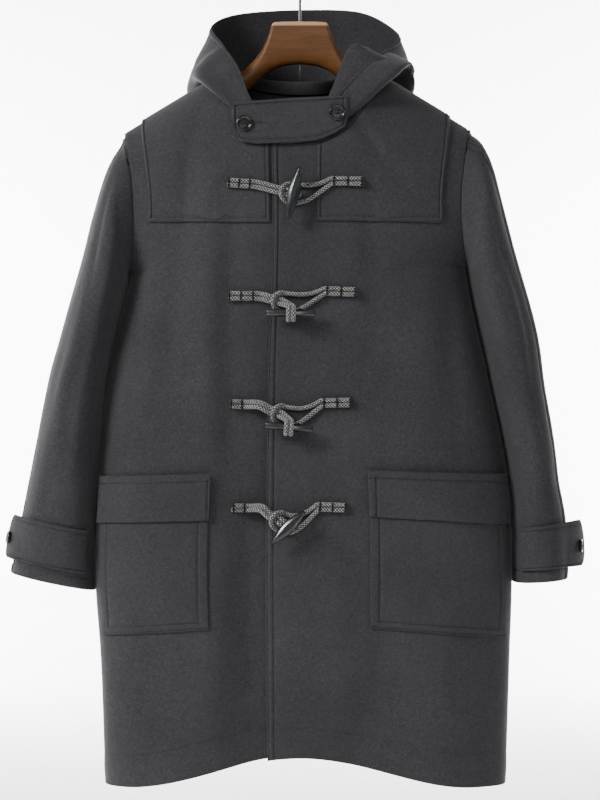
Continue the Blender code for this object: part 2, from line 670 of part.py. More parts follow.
def build_buttons(horn):
    for side, (x, z) in THROAT_BUTTONS.items():
        center = np.array([x, throat_tab_face(x) - CLOTH - GAP, z])
        button(f"throat_button_{side}", center, np.array([0, -1.0, 0]), BUTTON["throat"], horn)
    for side in CUFF_TABS:
        row = dict(zip(CUFF_TAB_COLUMNS, CUFF_TABS[side]))
        turn = np.full((1, 1), row["button_turn"])
        way = np.full((1, 1), (row["top"] + row["bottom"]) / 2)
        under, over = sleeve_walls(side, turn, way, cuff_tab_lift(row, turn))
        beside = sleeve_walls(side, turn + 0.12, way, cuff_tab_lift(row, turn + 0.12))[1]
        above = sleeve_walls(side, turn, way - 0.01, cuff_tab_lift(row, turn))[1]
        facing = np.cross(beside - over, above - over)[0, 0]
        facing /= np.linalg.norm(facing)
        facing = facing if facing[1] < 0 else -facing
        button(f"cuff_button_{side}", over[0, 0] + facing * 2.2 * GAP, facing, BUTTON["cuff"], horn)


def cuff_tab_lift(row, turn):
    """The strap lies on the sleeve and its buttoned end stands off past the sleeve's outer line."""
    return LAYER + 9 * LAID_CLEAR + row["flare"] * ease((0.95 - turn) / 0.85)


def build_cuff_tabs(wool):
    for side in CUFF_TABS:
        row = dict(zip(CUFF_TAB_COLUMNS, CUFF_TABS[side]))
        share = np.array([0, 0.2, 0.4, 0.58, 0.72, 0.84, 0.92, 1.0])
        turn = row["from_turn"] + (row["to_turn"] - row["from_turn"]) * share
        point = ease((share - 1 + CUFF_TAB_POINT) / CUFF_TAB_POINT) * 0.30
        down = np.array([0, 0.33, 0.67, 1.0])[:, None]
        middle = (row["top"] + row["bottom"]) / 2
        half = (row["bottom"] - row["top"]) / 2
        way = middle + half * (2 * down - 1) * (1 - point)
        grid = np.broadcast_to(turn, way.shape)
        inner, outer = sleeve_walls(side, grid, way, cuff_tab_lift(row, grid))
        wall(f"cuff_tab_{side}", inner, outer, wool)


def cloth_level(x, z):
    """The front's outermost cloth: the y of its face, over the opening's edge and the yokes."""
    u = around(x / half_width(x, z))
    over = x > OPENING_EDGE * half_width(x, z)
    layers = over * front_lift(u)
    yoke = z > YOKE_BACK_LOW
    left_yoke = yoke & (x < PATCHES["yoke_front_left"][1] * half_width(x, z))
    right_yoke = yoke & (x > PATCHES["yoke_front_right"][1] * half_width(x, z))
    layers = layers + LAYER * (left_yoke | right_yoke)
    return body_point(u, z, FRONT)[..., 1] - CLOTH - layers


def rope_level(x, z):
    """The cloth's face evened out over 24 mm, so that a rope passes over an edge in a soft step."""
    reach = np.linspace(-0.012, 0.012, 7)
    levels = cloth_level(x[..., None] + reach, z[..., None] + 0 * reach)
    return levels.min(axis=-1)


def doubled(center, beside, half):
    """The two strands of a rope laid double: out along one side, round its end and back along the other."""
    ahead = center[-1] - center[-2]
    ahead /= np.linalg.norm(ahead)
    turns = np.linspace(math.pi / 2, -math.pi / 2, 5)[1:-1]
    cap = [center[-1] + half[-1] * (math.cos(turn) * ahead + math.sin(turn) * beside[-1]) for turn in turns]
    out = center + beside * half[:, None]
    home = (center - beside * half[:, None])[::-1]
    return np.concatenate([out, cap, home])


def even_steps(points, count):
    """Points at even steps along the smooth curve through a few points."""
    points = np.asarray(points, float)
    chord = np.concatenate([[0], np.cumsum(np.linalg.norm(np.diff(points, axis=0), axis=1) ** 0.5)])
    fine = smooth_curve(np.linspace(0, chord[-1], 200), chord, points)
    way = np.concatenate([[0], np.cumsum(np.linalg.norm(np.diff(fine, axis=0), axis=1))])
    steps = np.linspace(0, way[-1], count)
    return np.stack([np.interp(steps, way, fine[:, axis]) for axis in range(3)], axis=-1)


def toggle_center(row):
    """The toggle's middle stands off the cloth by the ropes behind it and half its own thickness."""
    x, z = np.array(row["toggle_x"]), np.array(row["toggle_z"])
    back = TOGGLE_BACK if not row["wrapped"] else 0.6 * TOGGLE_BACK
    thick = TOGGLE_THICK if not row["wrapped"] else TOGGLE_WIDE
    return np.array([x, rope_level(x, z) - back - thick, z])


def stem_route(row):
    """The left rope: sewn down, free past the front's edge, under the loop and then to the toggle."""
    center = toggle_center(row)
    tilt = math.radians(row["tilt"])
    axis = np.array([math.cos(tilt), 0, math.sin(tilt)])
    flat = []
    reach = row["toggle_z"] if not row["wrapped"] else row["toggle_z"] + TOGGLE_THICK + 2 * ROPE
    hook_share = (row["hook_x"] - row["free_x"]) / (row["toggle_x"] - row["free_x"])
    hook_z = row["free_z"] + (reach - row["free_z"]) * hook_share
    for x, z in (
        (row["far_x"], row["far_z"]),
        ((row["far_x"] + row["free_x"]) / 2, (row["far_z"] + row["free_z"]) / 2),
        (row["free_x"], row["free_z"]),
        (row["hook_x"] - 0.004, hook_z + 0.001),
        (row["hook_x"] + 0.001, hook_z),
    ):
        flat.append([x, rope_level(np.array(x), np.array(z)) - ROPE - GAP, z])
    if not row["wrapped"]:
        away = center - [row["hook_x"], center[1], hook_z]
        away[1] = 0
        away /= np.linalg.norm(away)
        behind = center + [0, TOGGLE_THICK + ROPE + 2 * GAP, 0]
        leaving = (np.array(flat[-1]) * 0.5 + behind * 0.5) * [1, 0, 1]
        leaving[1] = rope_level(leaving[0], leaving[2]) - 3.2 * ROPE
        ends = [leaving, behind - away * 0.002, behind + away * 0.004]
        path = even_steps(flat + ends, 13)
        upright = np.cross(away, [0, 1.0, 0])
        upright *= np.sign(upright[2])
        beside = np.broadcast_to(upright, path.shape)
    else:
        down = np.array([math.sin(tilt), 0, -math.cos(tilt)])
        toward = np.array([0, -1.0, 0])
        turns = np.radians([35, 70, 105, 140, 175, 205])
        bow_in, bow_out = TOGGLE_THICK + ROPE + 2 * GAP, TOGGLE_WIDE + ROPE + 2 * GAP
        arc = [center - down * bow_in * math.cos(turn) + toward * bow_out * math.sin(turn) for turn in turns]
        path = even_steps(flat + arc, 19)
        heading = ease((path[:, 0] - row["hook_x"]) / (row["toggle_x"] - row["hook_x"] - 0.001))
        beside = np.outer(1 - heading, [0, 0, 1.0]) + np.outer(heading, axis)
        ahead = np.gradient(path, axis=0)
        ahead /= np.linalg.norm(ahead, axis=1, keepdims=True)
        beside = beside - ahead * np.sum(beside * ahead, axis=1, keepdims=True)
        beside /= np.linalg.norm(beside, axis=1, keepdims=True)
    leave = np.array([row["toggle_x"] - row["hook_x"], reach - hook_z])
    return doubled(path, beside, np.full(len(path), STRANDS)), hook_z, leave / np.linalg.norm(leave)


def loop_route(row, hook_z, leave):
    """The right rope: sewn down, then open round the other rope, over which its end hooks.

    Its middle line leaves the hooked end the way the other rope runs there, and bends towards the sewn end.
    """
    hook = np.array([row["hook_x"], hook_z]) + leave * LOOP_HALF
    near = np.array([row["near_x"], row["near_z"]])
    end = np.array([row["end_x"], row["end_z"]])
    share = np.linspace(0, 1, 7)[1:, None]
    bend = hook + leave * LOOP_STRAIGHT
    free = (1 - share) ** 2 * near + 2 * share * (1 - share) * bend + share**2 * hook
    middle = np.concatenate([[end, (end + near) / 2, near], free])
    ahead = np.gradient(middle, axis=0)
    ahead /= np.linalg.norm(ahead, axis=1, keepdims=True)
    beside = np.stack([-ahead[:, 1], ahead[:, 0]], axis=-1)
    beside *= np.sign(beside[:, 1:2])
    half = STRANDS + (LOOP_HALF - STRANDS) * np.concatenate([[0, 0, 0], ease(share[:, 0] * 1.25)])
    turns = np.radians([70, 45, 20, 0, -20, -45, -70])
    direction, upright = ahead[-1], beside[-1]
    bow = [hook + LOOP_HALF * (math.cos(turn) * direction + math.sin(turn) * upright) for turn in turns]
    flat = np.concatenate([middle + beside * half[:, None], bow, (middle - beside * half[:, None])[::-1]])
    rise = np.concatenate([0 * half, np.cos(turns) ** 0.5, 0 * half])
    level = rope_level(flat[:, 0], flat[:, 1]) - ROPE - GAP - HOOK_RISE * rise
    return np.stack([flat[:, 0], level, flat[:, 1]], axis=-1)


def build_fastenings(rope, horn):
    for number, values in enumerate(FASTENINGS, 1):
        row = dict(zip(FASTENING_COLUMNS, values))
        stem, hook_z, leave = stem_route(row)
        tube(f"rope_left_{number}", stem, ROPE, 7, rope)
        tube(f"rope_right_{number}", loop_route(row, hook_z, leave), ROPE, 7, rope)
        tilt = math.radians(row["tilt"])
        axis = np.array([math.cos(tilt), 0, math.sin(tilt)])
        cross = np.array([-math.sin(tilt), 0, math.cos(tilt)])
        wide, thick = (np.array([0, 1.0, 0]), cross) if row["wrapped"] else (cross, np.array([0, 1.0, 0]))
        along = np.linspace(-1, 1, 9)
        across, beside = oval(np.linspace(0, 2 * math.pi, 12, endpoint=False), 2.2)
        rings = []
        for place in along:
            width = TOGGLE_WIDE * (1 - 0.76 * abs(place) ** 1.7)
            depth = TOGGLE_THICK * (1 - 0.25 * abs(place) ** 2.5)
            ring = np.outer(across * width, wide) + np.outer(beside * depth, thick)
            rings.append(toggle_center(row) + axis * place * row["length"] / 2 + ring)
        loft(f"toggle_{number}", np.array(rings), horn)


# ---- Hanger and hook -------------------------------------------------------------------------------------
def build_hanger(wood, steel):
    """A wooden hanger skinned over ovals from end to end, and the wire hook that stands in its middle."""
    half = [dict(zip(HANGER_COLUMNS, row)) for row in HANGER_ROWS]
    whole = [dict(row, x=-row["x"]) for row in reversed(half[1:])] + half
    across, along = oval(np.linspace(0, 2 * math.pi, 12, endpoint=False), 2.0)
    rings = []
    for row in whole:
        height = (row["top"] - row["bottom"]) / 2
        middle = (row["top"] + row["bottom"]) / 2
        ring = [0 * across + row["x"], across * row["half"], middle + along * height]
        rings.append(np.stack(ring, axis=-1))
    loft("hanger", np.array(rings), wood)

    bend = HOOK_INSIDE + HOOK_WIRE
    turns = np.radians(np.linspace(195, -52, 15))
    around_rail = [(bend * math.cos(turn), 0, -HOOK_INSIDE + bend * math.sin(turn)) for turn in turns]
    foot = HANGER_ROWS[0][1] + GAP
    shank = [(0.0045, 0, -0.0415), (0.0008, 0, -0.0490)] + [(0, 0, z) for z in (-0.0570, -0.0710, foot)]
    tube("hook", even_steps(around_rail + shank, 30), HOOK_WIRE, 8, steel)


def main():
    for obj in list(bpy.data.objects):
        bpy.data.objects.remove(obj, do_unlink=True)
    wool = material("wool", (0.050, 0.051, 0.055), 0.95)
    rope = material("rope", (0.16, 0.16, 0.155), 0.85)
    horn = material("horn", (0.012, 0.013, 0.015), 0.28)
    wood = material("wood", (0.16, 0.062, 0.026), 0.38)
    steel = material("steel", (0.45, 0.45, 0.46), 0.25, 1.0)
    build_body(wool)
    build_patches(wool)
    build_sleeves(wool)
    build_hood(wool)
    build_throat_tab(wool)
    build_cuff_tabs(wool)
    build_buttons(horn)
    build_fastenings(rope, horn)
    build_hanger(wood, steel)


main()
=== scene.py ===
# %% [markdown]
# # A duffle coat on a wooden hanger
#
# The coat is cut from milled wool so thick that it hangs in one calm sweep from the shoulders. Its fronts
# overlap, four toggles on rope close it, and a strap buttons across the throat. The solids of every piece
# already exist, with their true places and sizes. This notebook gives each piece its finished surface:
# rounded cloth edges, stitched seams, soft creases, braided rope, horn, wood and light. Nearly every shape
# is a function of two parameters on a grid, computed with numpy as whole arrays, so a change to one size
# moves all that follows it.

# %% The frame
import math

import bpy
import numpy as np
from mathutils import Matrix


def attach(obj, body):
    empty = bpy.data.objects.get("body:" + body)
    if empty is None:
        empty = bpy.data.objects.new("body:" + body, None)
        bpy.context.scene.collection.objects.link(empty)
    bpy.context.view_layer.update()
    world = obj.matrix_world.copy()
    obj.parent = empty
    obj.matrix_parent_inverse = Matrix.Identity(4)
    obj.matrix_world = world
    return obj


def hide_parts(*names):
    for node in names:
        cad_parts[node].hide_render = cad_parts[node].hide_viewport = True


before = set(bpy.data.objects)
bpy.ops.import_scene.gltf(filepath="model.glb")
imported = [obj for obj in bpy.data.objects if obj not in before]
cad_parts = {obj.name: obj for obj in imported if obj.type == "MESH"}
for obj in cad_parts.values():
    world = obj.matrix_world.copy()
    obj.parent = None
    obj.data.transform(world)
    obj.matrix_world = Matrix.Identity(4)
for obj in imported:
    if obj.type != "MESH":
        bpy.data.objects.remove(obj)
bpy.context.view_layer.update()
print(len(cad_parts), "solids in the frame")

# %% [markdown]
# ## The coat's sizes
#
# Everything below is worked out from the same short tables that shaped the solids, in metres. +Z is up, +X
# is to the viewer's right, and the front faces -Y. Sizes could be typed in where they are used. A named
# table, kept beside the first piece that needs it, lets one surface function serve a panel, the pocket that
# lies on it and the stitches that hold the pocket down. This first one gives the coat's body: its half
# width to each side and its depth to the front and back at eight heights.

# %% Cloth and body sizes
CLOTH, GAP, LAID_CLEAR = 0.0026, 0.0003, 0.0002
LAYER = CLOTH + GAP
SHOULDER_PEAK, SHOULDER_FALL, SHOULDER_ROLL, ARMHOLE_DEPTH = -0.097, 0.60, 0.100, 0.062
SIDE_ROUND, FLATNESS = 3.2, 3.6
NECK_HALF, NECK_DROP = 0.100, {"front": 0.105, "back": 0.022}
OPENING_EDGE, UNDER_EDGE = -0.163, 0.190
HEM_MIDDLE, HEM_RISE, HEM_SPREAD, HEM_BACK = -1.100, 0.043, 0.240, 0.014
FRONT, BACK = -1.0, 1.0

BODY_COLUMNS = ("z", "left", "right", "front", "back")
BODY_ROWS = np.array([
    (-1.150, 0.268, 0.283, 0.070, 0.064),  # hem
    (-0.960, 0.275, 0.289, 0.073, 0.067),  # skirt
    (-0.860, 0.282, 0.292, 0.075, 0.069),  # pocket mouths
    (-0.720, 0.277, 0.286, 0.077, 0.071),  # hips
    (-0.560, 0.262, 0.254, 0.080, 0.074),  # waist
    (-0.442, 0.234, 0.229, 0.083, 0.077),  # underarm
    (-0.342, 0.227, 0.219, 0.083, 0.075),  # chest
    (-0.242, 0.240, 0.2305, 0.078, 0.070),  # shoulder tips
])
print("body table:", len(BODY_ROWS), "heights, columns", BODY_COLUMNS)

# %% [markdown]
# ## The body as one surface
#
# A coat's body is a tube that closes over the shoulders. It could be sculpted, but a function is easier to
# dress: `u` runs round it from one side seam (-1) to the other (1) and `z` is the height. Each level row is
# half an oval, and its depth shrinks like a quarter circle towards the shoulder seam.

# %% Curves
def smooth_curve(at, places, values):
    """A curve through the values: cubic between rows, each row's slope taken from its two neighbours."""
    slopes = np.gradient(values, places, axis=0)
    at = np.clip(at, places[0], places[-1])
    row = np.clip(np.searchsorted(places, at, side="right") - 1, 0, len(places) - 2)
    step = places[row + 1] - places[row]
    t = (at - places[row]) / step
    if values.ndim > 1:
        t, step = t[..., None], step[..., None]
    return (
        (2 * t**3 - 3 * t**2 + 1) * values[row]
        + (t**3 - 2 * t**2 + t) * step * slopes[row]
        + (3 * t**2 - 2 * t**3) * values[row + 1]
        + (t**3 - t**2) * step * slopes[row + 1]
    )


def ease(t):
    """3t² - 2t³: rises from 0 to 1 with flat ends."""
    t = np.clip(t, 0, 1)
    return t * t * (3 - 2 * t)


def unit(vectors):
    """Each vector divided by its own length."""
    return vectors / np.maximum(np.linalg.norm(vectors, axis=-1, keepdims=True), 1e-12)


def way_along(path):
    """The way to each point of a path: the running sum of its steps' lengths."""
    return np.concatenate([[0], np.cumsum(np.linalg.norm(np.diff(path, axis=0), axis=1))])


print("ease at a quarter:", ease(0.25))

# %% Round the body
def body_size(name, z):
    """The named column of the body table at a height."""
    return smooth_curve(z, BODY_ROWS[:, 0], BODY_ROWS[:, BODY_COLUMNS.index(name)])


def half_width(side, z):
    """The body's half width on the side that the sign of `side` names."""
    return np.where(side < 0, body_size("left", z), body_size("right", z))


TURN = np.linspace(0, math.pi / 2, 1201)
TURN_REACH = np.sin(TURN) ** (2 / SIDE_ROUND)
TURN_FULL = np.cos(TURN) ** (2 / SIDE_ROUND)
TURN_FULL[-1] = 0.0
TURN_STEPS = np.hypot(np.diff(TURN_REACH) * FLATNESS, np.diff(TURN_FULL))
TURN_WAY = np.concatenate([[0], np.cumsum(TURN_STEPS)]) / TURN_STEPS.sum()


def around(share):
    """How far round the body (0 middle, 1 side seam) a share of its half width lies."""
    return np.sign(share) * np.interp(np.abs(share), TURN_REACH, TURN_WAY)


def reach_of(u):
    """The share of the half width at a place round the body."""
    return np.interp(np.abs(u), TURN_WAY, TURN_REACH)


chest = -0.442
print(f"width at the chest: {half_width(-1, chest) + half_width(1, chest):.3f} m")

# %% Edges of the panels
def shoulder_height(x):
    """The shoulder line: a constant fall to each side of the neck."""
    return SHOULDER_PEAK - SHOULDER_FALL * np.abs(x)


def neck_height(x, face):
    """The neck edge: a half oval that hangs from the two ends of the shoulder seams."""
    drop = NECK_DROP["front" if face == FRONT else "back"]
    return shoulder_height(NECK_HALF) - drop * np.sqrt(np.clip(1 - (x / NECK_HALF) ** 2, 0, 1))


def shoulder_x(u):
    """How far from the middle a place round the body lies at the height of the shoulder tips."""
    return reach_of(u) * half_width(u, BODY_ROWS[-1][0] + 0 * u)


def top_height(u, face):
    """The upper edge of a panel: the neck edge, then the shoulder seam."""
    x = shoulder_x(u)
    return np.where(x < NECK_HALF, neck_height(x, face), shoulder_height(x))


def hem_height(u, face):
    """The hem: low at the sides and eased up to the middle, a little less at the back."""
    x = reach_of(u) * half_width(u, BODY_ROWS[0][0] + 0 * u)
    if face == FRONT:
        return HEM_MIDDLE - HEM_RISE * ease(x / HEM_SPREAD)
    return HEM_MIDDLE - HEM_BACK - (HEM_RISE - HEM_BACK) * ease(x / HEM_SPREAD)


middle = np.zeros(1)
print("front from neck to hem:", (neck_height(middle, FRONT) - hem_height(middle, FRONT)).round(3), "m")

# %% [markdown]
# ## Creases
#
# Milled wool doesn't wrinkle finely. It bends in long soft troughs that start where the cloth is held, at
# the neck, the armholes and the fastenings, and fade on the way down. A cloth simulation would give a
# different coat on each change, so each trough is listed: where it starts and ends, how wide and how deep
# it is. Summed bell curves across a leaning line give the troughs. Negative depths are troughs, positive
# ones ridges. Beside the opening the lower front also sinks in one broad hollow, so that the upper front
# casts a shadow on it.

# %% Table of creases
CREASE_COLUMNS = ("face", "x_top", "z_top", "x_end", "z_end", "width", "depth")
CREASES = np.array([
    (FRONT, -0.150, -0.250, -0.178, -0.640, 0.020, -0.0034),
    (FRONT, -0.118, -0.330, -0.128, -0.720, 0.016, 0.0026),
    (FRONT, -0.088, -0.330, -0.098, -0.800, 0.021, -0.0040),
    (FRONT, -0.200, -0.420, -0.225, -0.800, 0.024, 0.0020),
    (FRONT, -0.125, -0.190, -0.165, -0.350, 0.015, -0.0022),
    (FRONT, -0.096, -0.280, -0.155, -0.390, 0.010, 0.0014),
    (FRONT, -0.068, -0.760, -0.076, -1.120, 0.026, -0.0050),
    (FRONT, -0.118, -0.840, -0.125, -1.160, 0.022, 0.0028),
    (FRONT, -0.205, -0.900, -0.195, -1.170, 0.026, -0.0030),
    (FRONT, 0.066, -0.215, 0.150, -0.335, 0.013, -0.0026),
    (FRONT, 0.092, -0.230, 0.135, -0.300, 0.010, 0.0012),
    (FRONT, 0.105, -0.350, 0.080, -0.640, 0.026, -0.0024),
    (FRONT, 0.165, -0.390, 0.175, -0.700, 0.026, 0.0022),
    (FRONT, 0.205, -0.420, 0.215, -0.710, 0.016, -0.0022),
    (FRONT, 0.055, -0.840, 0.052, -1.120, 0.022, 0.0022),
    (FRONT, 0.120, -0.860, 0.082, -1.150, 0.024, -0.0028),
    (FRONT, 0.205, -0.880, 0.190, -1.160, 0.026, 0.0026),
    (BACK, -0.150, -0.330, -0.170, -0.760, 0.026, -0.0034),
    (BACK, -0.075, -0.420, -0.085, -1.150, 0.030, 0.0036),
    (BACK, 0.010, -0.380, -0.006, -0.900, 0.026, -0.0030),
    (BACK, 0.080, -0.460, 0.098, -1.160, 0.028, 0.0034),
    (BACK, 0.155, -0.320, 0.182, -0.820, 0.024, -0.0036),
    (BACK, -0.205, -0.700, -0.200, -1.170, 0.024, -0.0028),
    (BACK, 0.140, -0.780, 0.135, -1.170, 0.022, -0.0030),
    (BACK, 0.000, -0.860, 0.008, -1.170, 0.026, -0.0026),
])


def creases(x, z, face):
    """Sum of troughs. Each is depth · exp(-(offset / width)²) across its line, eased in and out along it."""
    lift = np.zeros(np.broadcast(x, z).shape)
    for row in CREASES[CREASES[:, 0] == face]:
        _, x_top, z_top, x_end, z_end, width, depth = row
        along = (z_top - z) / (z_top - z_end)
        sway = 0.12 * width * np.sin(7.0 * along + 40 * x_top)
        offset = x - (x_top + (x_end - x_top) * along) - sway
        grow = ease((along + 0.10) / 0.35) * ease((1.12 - along) / 0.45)
        lift = lift + depth * grow * np.exp(-((offset / (width * (0.75 + 0.45 * np.clip(along, 0, 1)))) ** 2))
    return lift


def soft_waves(x, z, seed):
    """The cloth's own unevenness: five crossing sine waves of 43 to 110 mm, each 0.09 mm high."""
    turn = np.arange(1, 6) * 2.399 + seed
    waves = [np.sin((np.cos(t) * x + np.sin(t) * z) * (57 + 22 * k) + 3 * t) for k, t in enumerate(turn)]
    return 0.00009 * np.sum(waves, axis=0)


print(len(CREASES), "creases")

# %% The hollow beside the opening
HOLLOW_DEEP, HOLLOW_PLACE, HOLLOW_WIDE = 0.0240, -0.040, 0.058


def hollow(x, z):
    """The lower front sinks behind the upper one's edge: a bell curve that grows from chest to pocket."""
    grow = ease((-0.36 - z) / 0.40) * (0.75 + 0.25 * ease((-0.75 - z) / 0.3))
    return -HOLLOW_DEEP * grow * np.exp(-(((x - HOLLOW_PLACE) / HOLLOW_WIDE) ** 2))


print(f"the hollow at the lowest toggle: {hollow(HOLLOW_PLACE, -0.780) * 1000:.1f} mm")

# %% The body's surface
OVERLAP_END, OVERLAP_EASE = 0.26, 0.16


def folds(u, z, face):
    """Flutes that the solids have too: cosine waves round the body that grow towards the hem."""
    fall = ease((-0.50 - z) / 0.60)
    if face == FRONT:
        return 0.0022 * fall * np.cos(3.1 * math.pi * u + 0.5)
    upper = 0.0030 * ease((-0.26 - z) / 0.12) * np.cos(2.0 * math.pi * u)
    return 0.0060 * fall * np.cos(4.0 * math.pi * u) + upper


def body_point(u, z, face, creased=True, under=False):
    """x is the oval's reach, y its depth times the shoulder's quarter circle, plus the creases."""
    reach = reach_of(u)
    full = np.interp(np.abs(u), TURN_WAY, TURN_FULL)
    x = reach * half_width(u, z)
    drop = np.clip((shoulder_height(x) - z) / SHOULDER_ROLL, 0, 1)
    roll = np.sqrt(1 - (1 - drop) ** 2)
    middle = shoulder_height(half_width(u, BODY_ROWS[-1][0] + 0 * z)) - SHOULDER_ROLL
    arm = np.sqrt(np.clip(1 - ((z - middle) / SHOULDER_ROLL) ** 2, 0, 1))
    full = full ** (1 + (SIDE_ROUND - 1) * arm)
    depth = body_size("front" if face == FRONT else "back", z) + folds(u, z, face)
    y = depth * full * roll + (1 - full) * ARMHOLE_DEPTH * arm
    if creased:
        calm = ease((0.93 - np.abs(u)) / 0.25) * roll
        y = y + creases(np.sign(u) * x, z, face) * calm + soft_waves(np.sign(u) * x, z, face) * calm
        left = (np.sign(u) * x < OPENING_EDGE * half_width(u, z)) | under
        y = y + hollow(np.sign(u) * x, z) * left * (face == FRONT)
    seam = 0.7 * GAP * ease((1 - np.abs(u)) / 0.02) + 0.00003
    return np.stack([np.sign(u) * x, face * (y + seam), z], axis=-1)


def front_lift(u):
    """The upper front lies on the other one as far as OVERLAP_END round the body, then eases down."""
    return LAYER * (1 - ease((u - OVERLAP_END) / OVERLAP_EASE))


print("middle of the chest:", body_point(middle, middle + chest, FRONT)[0].round(3))

# %% [markdown]
# ## Thick cloth
#
# Cloth this thick shows its edge. A flat sheet with Solidify would end in a sharp step, so each piece is
# built as two faces over one grid, drawn together in a half circle at the rim. An edge that is sewn against
# its neighbour keeps its full thickness, because a rounded one would leave a bright groove there. The grid
# is close near the edges and along each line of stitching and wide between them. Where a line of stitches
# runs, the outer face sinks, and it swells a little between the stitches and the edge, as thick wool does.

# %% Grids that are close where it matters
EDGE_STEPS = np.array([0, 0.0003, 0.0008, 0.0014, 0.0024, 0.0040])
STITCH_STEPS = np.array([-0.0030, -0.0017, -0.0008, 0, 0.0008, 0.0017, 0.0030])


def spaced(length, step, marks=()):
    """Places from 0 to 1 along a length: even steps, with close ones at both ends and round each mark."""
    even = np.linspace(0, length, max(int(length / step), 2) + 1)
    close = [EDGE_STEPS, length - EDGE_STEPS] + [mark + STITCH_STEPS for mark in marks]
    close = np.concatenate([c[(c >= 0) & (c <= length)] for c in close])
    even = even[np.abs(even[:, None] - close[None, :]).min(axis=1) > 0.45 * step]
    places = np.unique(np.round(np.concatenate([close, even]), 6))
    places = places[np.concatenate([[True], np.diff(places) > 0.00022])]
    places[-1] = length
    return places / length


def crossings(lines, length, near, far):
    """Places along a length that stitch lines cross, from its near edge or back from its far one."""
    return [line[1] if line[0] == near else length - line[1] for line in lines if line[0] in (near, far)]


print("100 mm in steps of 5 mm, close at the edges:", len(spaced(0.100, 0.005)), "places")

# %% Meshes from arrays
def make_object(name, points, faces, finish):
    """A mesh object of quads, turned so that its volume, the sum of a·(b x c) + a·(c x d), is positive."""
    a, b, c, d = (points[faces[:, k]] for k in range(4))
    if np.sum(a * np.cross(b, c)) + np.sum(a * np.cross(c, d)) < 0:
        faces = faces[:, ::-1]
    mesh = bpy.data.meshes.new(name)
    mesh.vertices.add(len(points))
    mesh.vertices.foreach_set("co", np.ascontiguousarray(points, float).ravel())
    mesh.loops.add(faces.size)
    mesh.loops.foreach_set("vertex_index", np.ascontiguousarray(faces).ravel())
    mesh.polygons.add(len(faces))
    mesh.polygons.foreach_set("loop_start", np.arange(len(faces)) * 4)
    mesh.update(calc_edges=True)
    mesh.validate()
    mesh.polygons.foreach_set("use_smooth", np.full(len(mesh.polygons), True))
    mesh.materials.append(finish)
    made = bpy.data.objects.new(name, mesh)
    bpy.context.scene.collection.objects.link(made)
    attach(made, "root")
    return made


def grid_faces(rows, columns, offset=0):
    """Quads of a grid, row by row."""
    i, j = np.meshgrid(np.arange(rows - 1), np.arange(columns - 1), indexing="ij")
    corner = (i * columns + j).ravel() + offset
    return np.stack([corner, corner + 1, corner + columns + 1, corner + columns], axis=-1)


def shell_faces(rows, columns):
    """Both faces of a sheet and the strip round its rim."""
    far = rows * columns
    top = np.arange(columns)
    right = np.arange(1, rows) * columns + columns - 1
    low = (rows - 1) * columns + np.arange(columns - 2, -1, -1)
    left = np.arange(rows - 2, 0, -1) * columns
    rim = np.concatenate([top, right, low, left])
    after = np.roll(rim, -1)
    strip = np.stack([after, rim, rim + far, after + far], axis=-1)
    return np.concatenate([grid_faces(rows, columns), grid_faces(rows, columns, far)[:, ::-1], strip])


def set_uv(made, uv):
    """Writes one UV pair for each point into the mesh's corners."""
    mesh = made.data
    corners = np.empty(len(mesh.loops), int)
    mesh.loops.foreach_get("vertex_index", corners)
    layer = mesh.uv_layers.new(name="cloth")
    layer.data.foreach_set("uv", uv[corners].ravel())


print("faces of a closed sheet of 3 x 4 points:", len(shell_faces(3, 4)))

# %% Normals and edges of a grid
def face_normals(points, away):
    """Unit normals of a grid, turned to the side of `away`, one direction or one for each point."""
    normal = unit(np.cross(np.gradient(points, axis=0), np.gradient(points, axis=1)))
    return normal * np.where(np.sum(normal * away, axis=-1, keepdims=True) < 0, -1.0, 1.0)


def edge_distance(points):
    """Distances to the left, right, top and bottom edge, measured along the grid."""
    across = np.linalg.norm(np.diff(points, axis=1), axis=-1)
    down = np.linalg.norm(np.diff(points, axis=0), axis=-1)
    left = np.concatenate([np.zeros((len(points), 1)), np.cumsum(across, axis=1)], axis=1)
    top = np.concatenate([np.zeros((1, points.shape[1])), np.cumsum(down, axis=0)], axis=0)
    return {"left": left, "right": left[:, -1:] - left, "top": top, "bottom": top[-1:] - top}


flat = np.stack(np.broadcast_arrays(np.arange(3.0), 0.0, -np.arange(4.0)[:, None]), axis=-1)
print("a flat grid of 2 x 3 m measures:", {edge: far.max() for edge, far in edge_distance(flat).items()})

# %% The relief along a line of stitches
STITCH_WIDE, STITCH_DEEP, STITCH_SWELL, STITCH_WAVE = 0.0011, 0.00125, 0.00065, 0.0125


def stitch_relief(a, b, width, length, lines):
    """A line of stitches sinks the cloth in a narrow bell curve and lifts it by the edge in a wide one."""
    relief = np.zeros((len(b), len(a)))
    for edge, distance, start, end in lines:
        if edge in ("left", "right"):
            place = a * width if edge == "left" else (1 - a) * width
            along, off = b[:, None] * length, (place - distance)[None, :]
        else:
            place = b * length if edge == "top" else (1 - b) * length
            along, off = a[None, :] * width, (place - distance)[:, None]
        span = length if edge in ("left", "right") else width
        inside = ease((along - start + 0.003) / 0.003) * ease((span - end - along + 0.003) / 0.003)
        dimples = 1 + 0.22 * np.sin(along * 2 * math.pi / STITCH_WAVE + 40 * distance)
        bell = np.exp(-((off / STITCH_WIDE) ** 2))
        swell = np.exp(-(((off + 0.45 * distance) / (0.30 * distance)) ** 2))
        relief = relief + inside * (STITCH_SWELL * swell - STITCH_DEEP * bell * dimples)
    return relief


print("a groove is", round(STITCH_DEEP * 1000, 2), "mm deep")

# %% One cloth piece
PIECES = {}


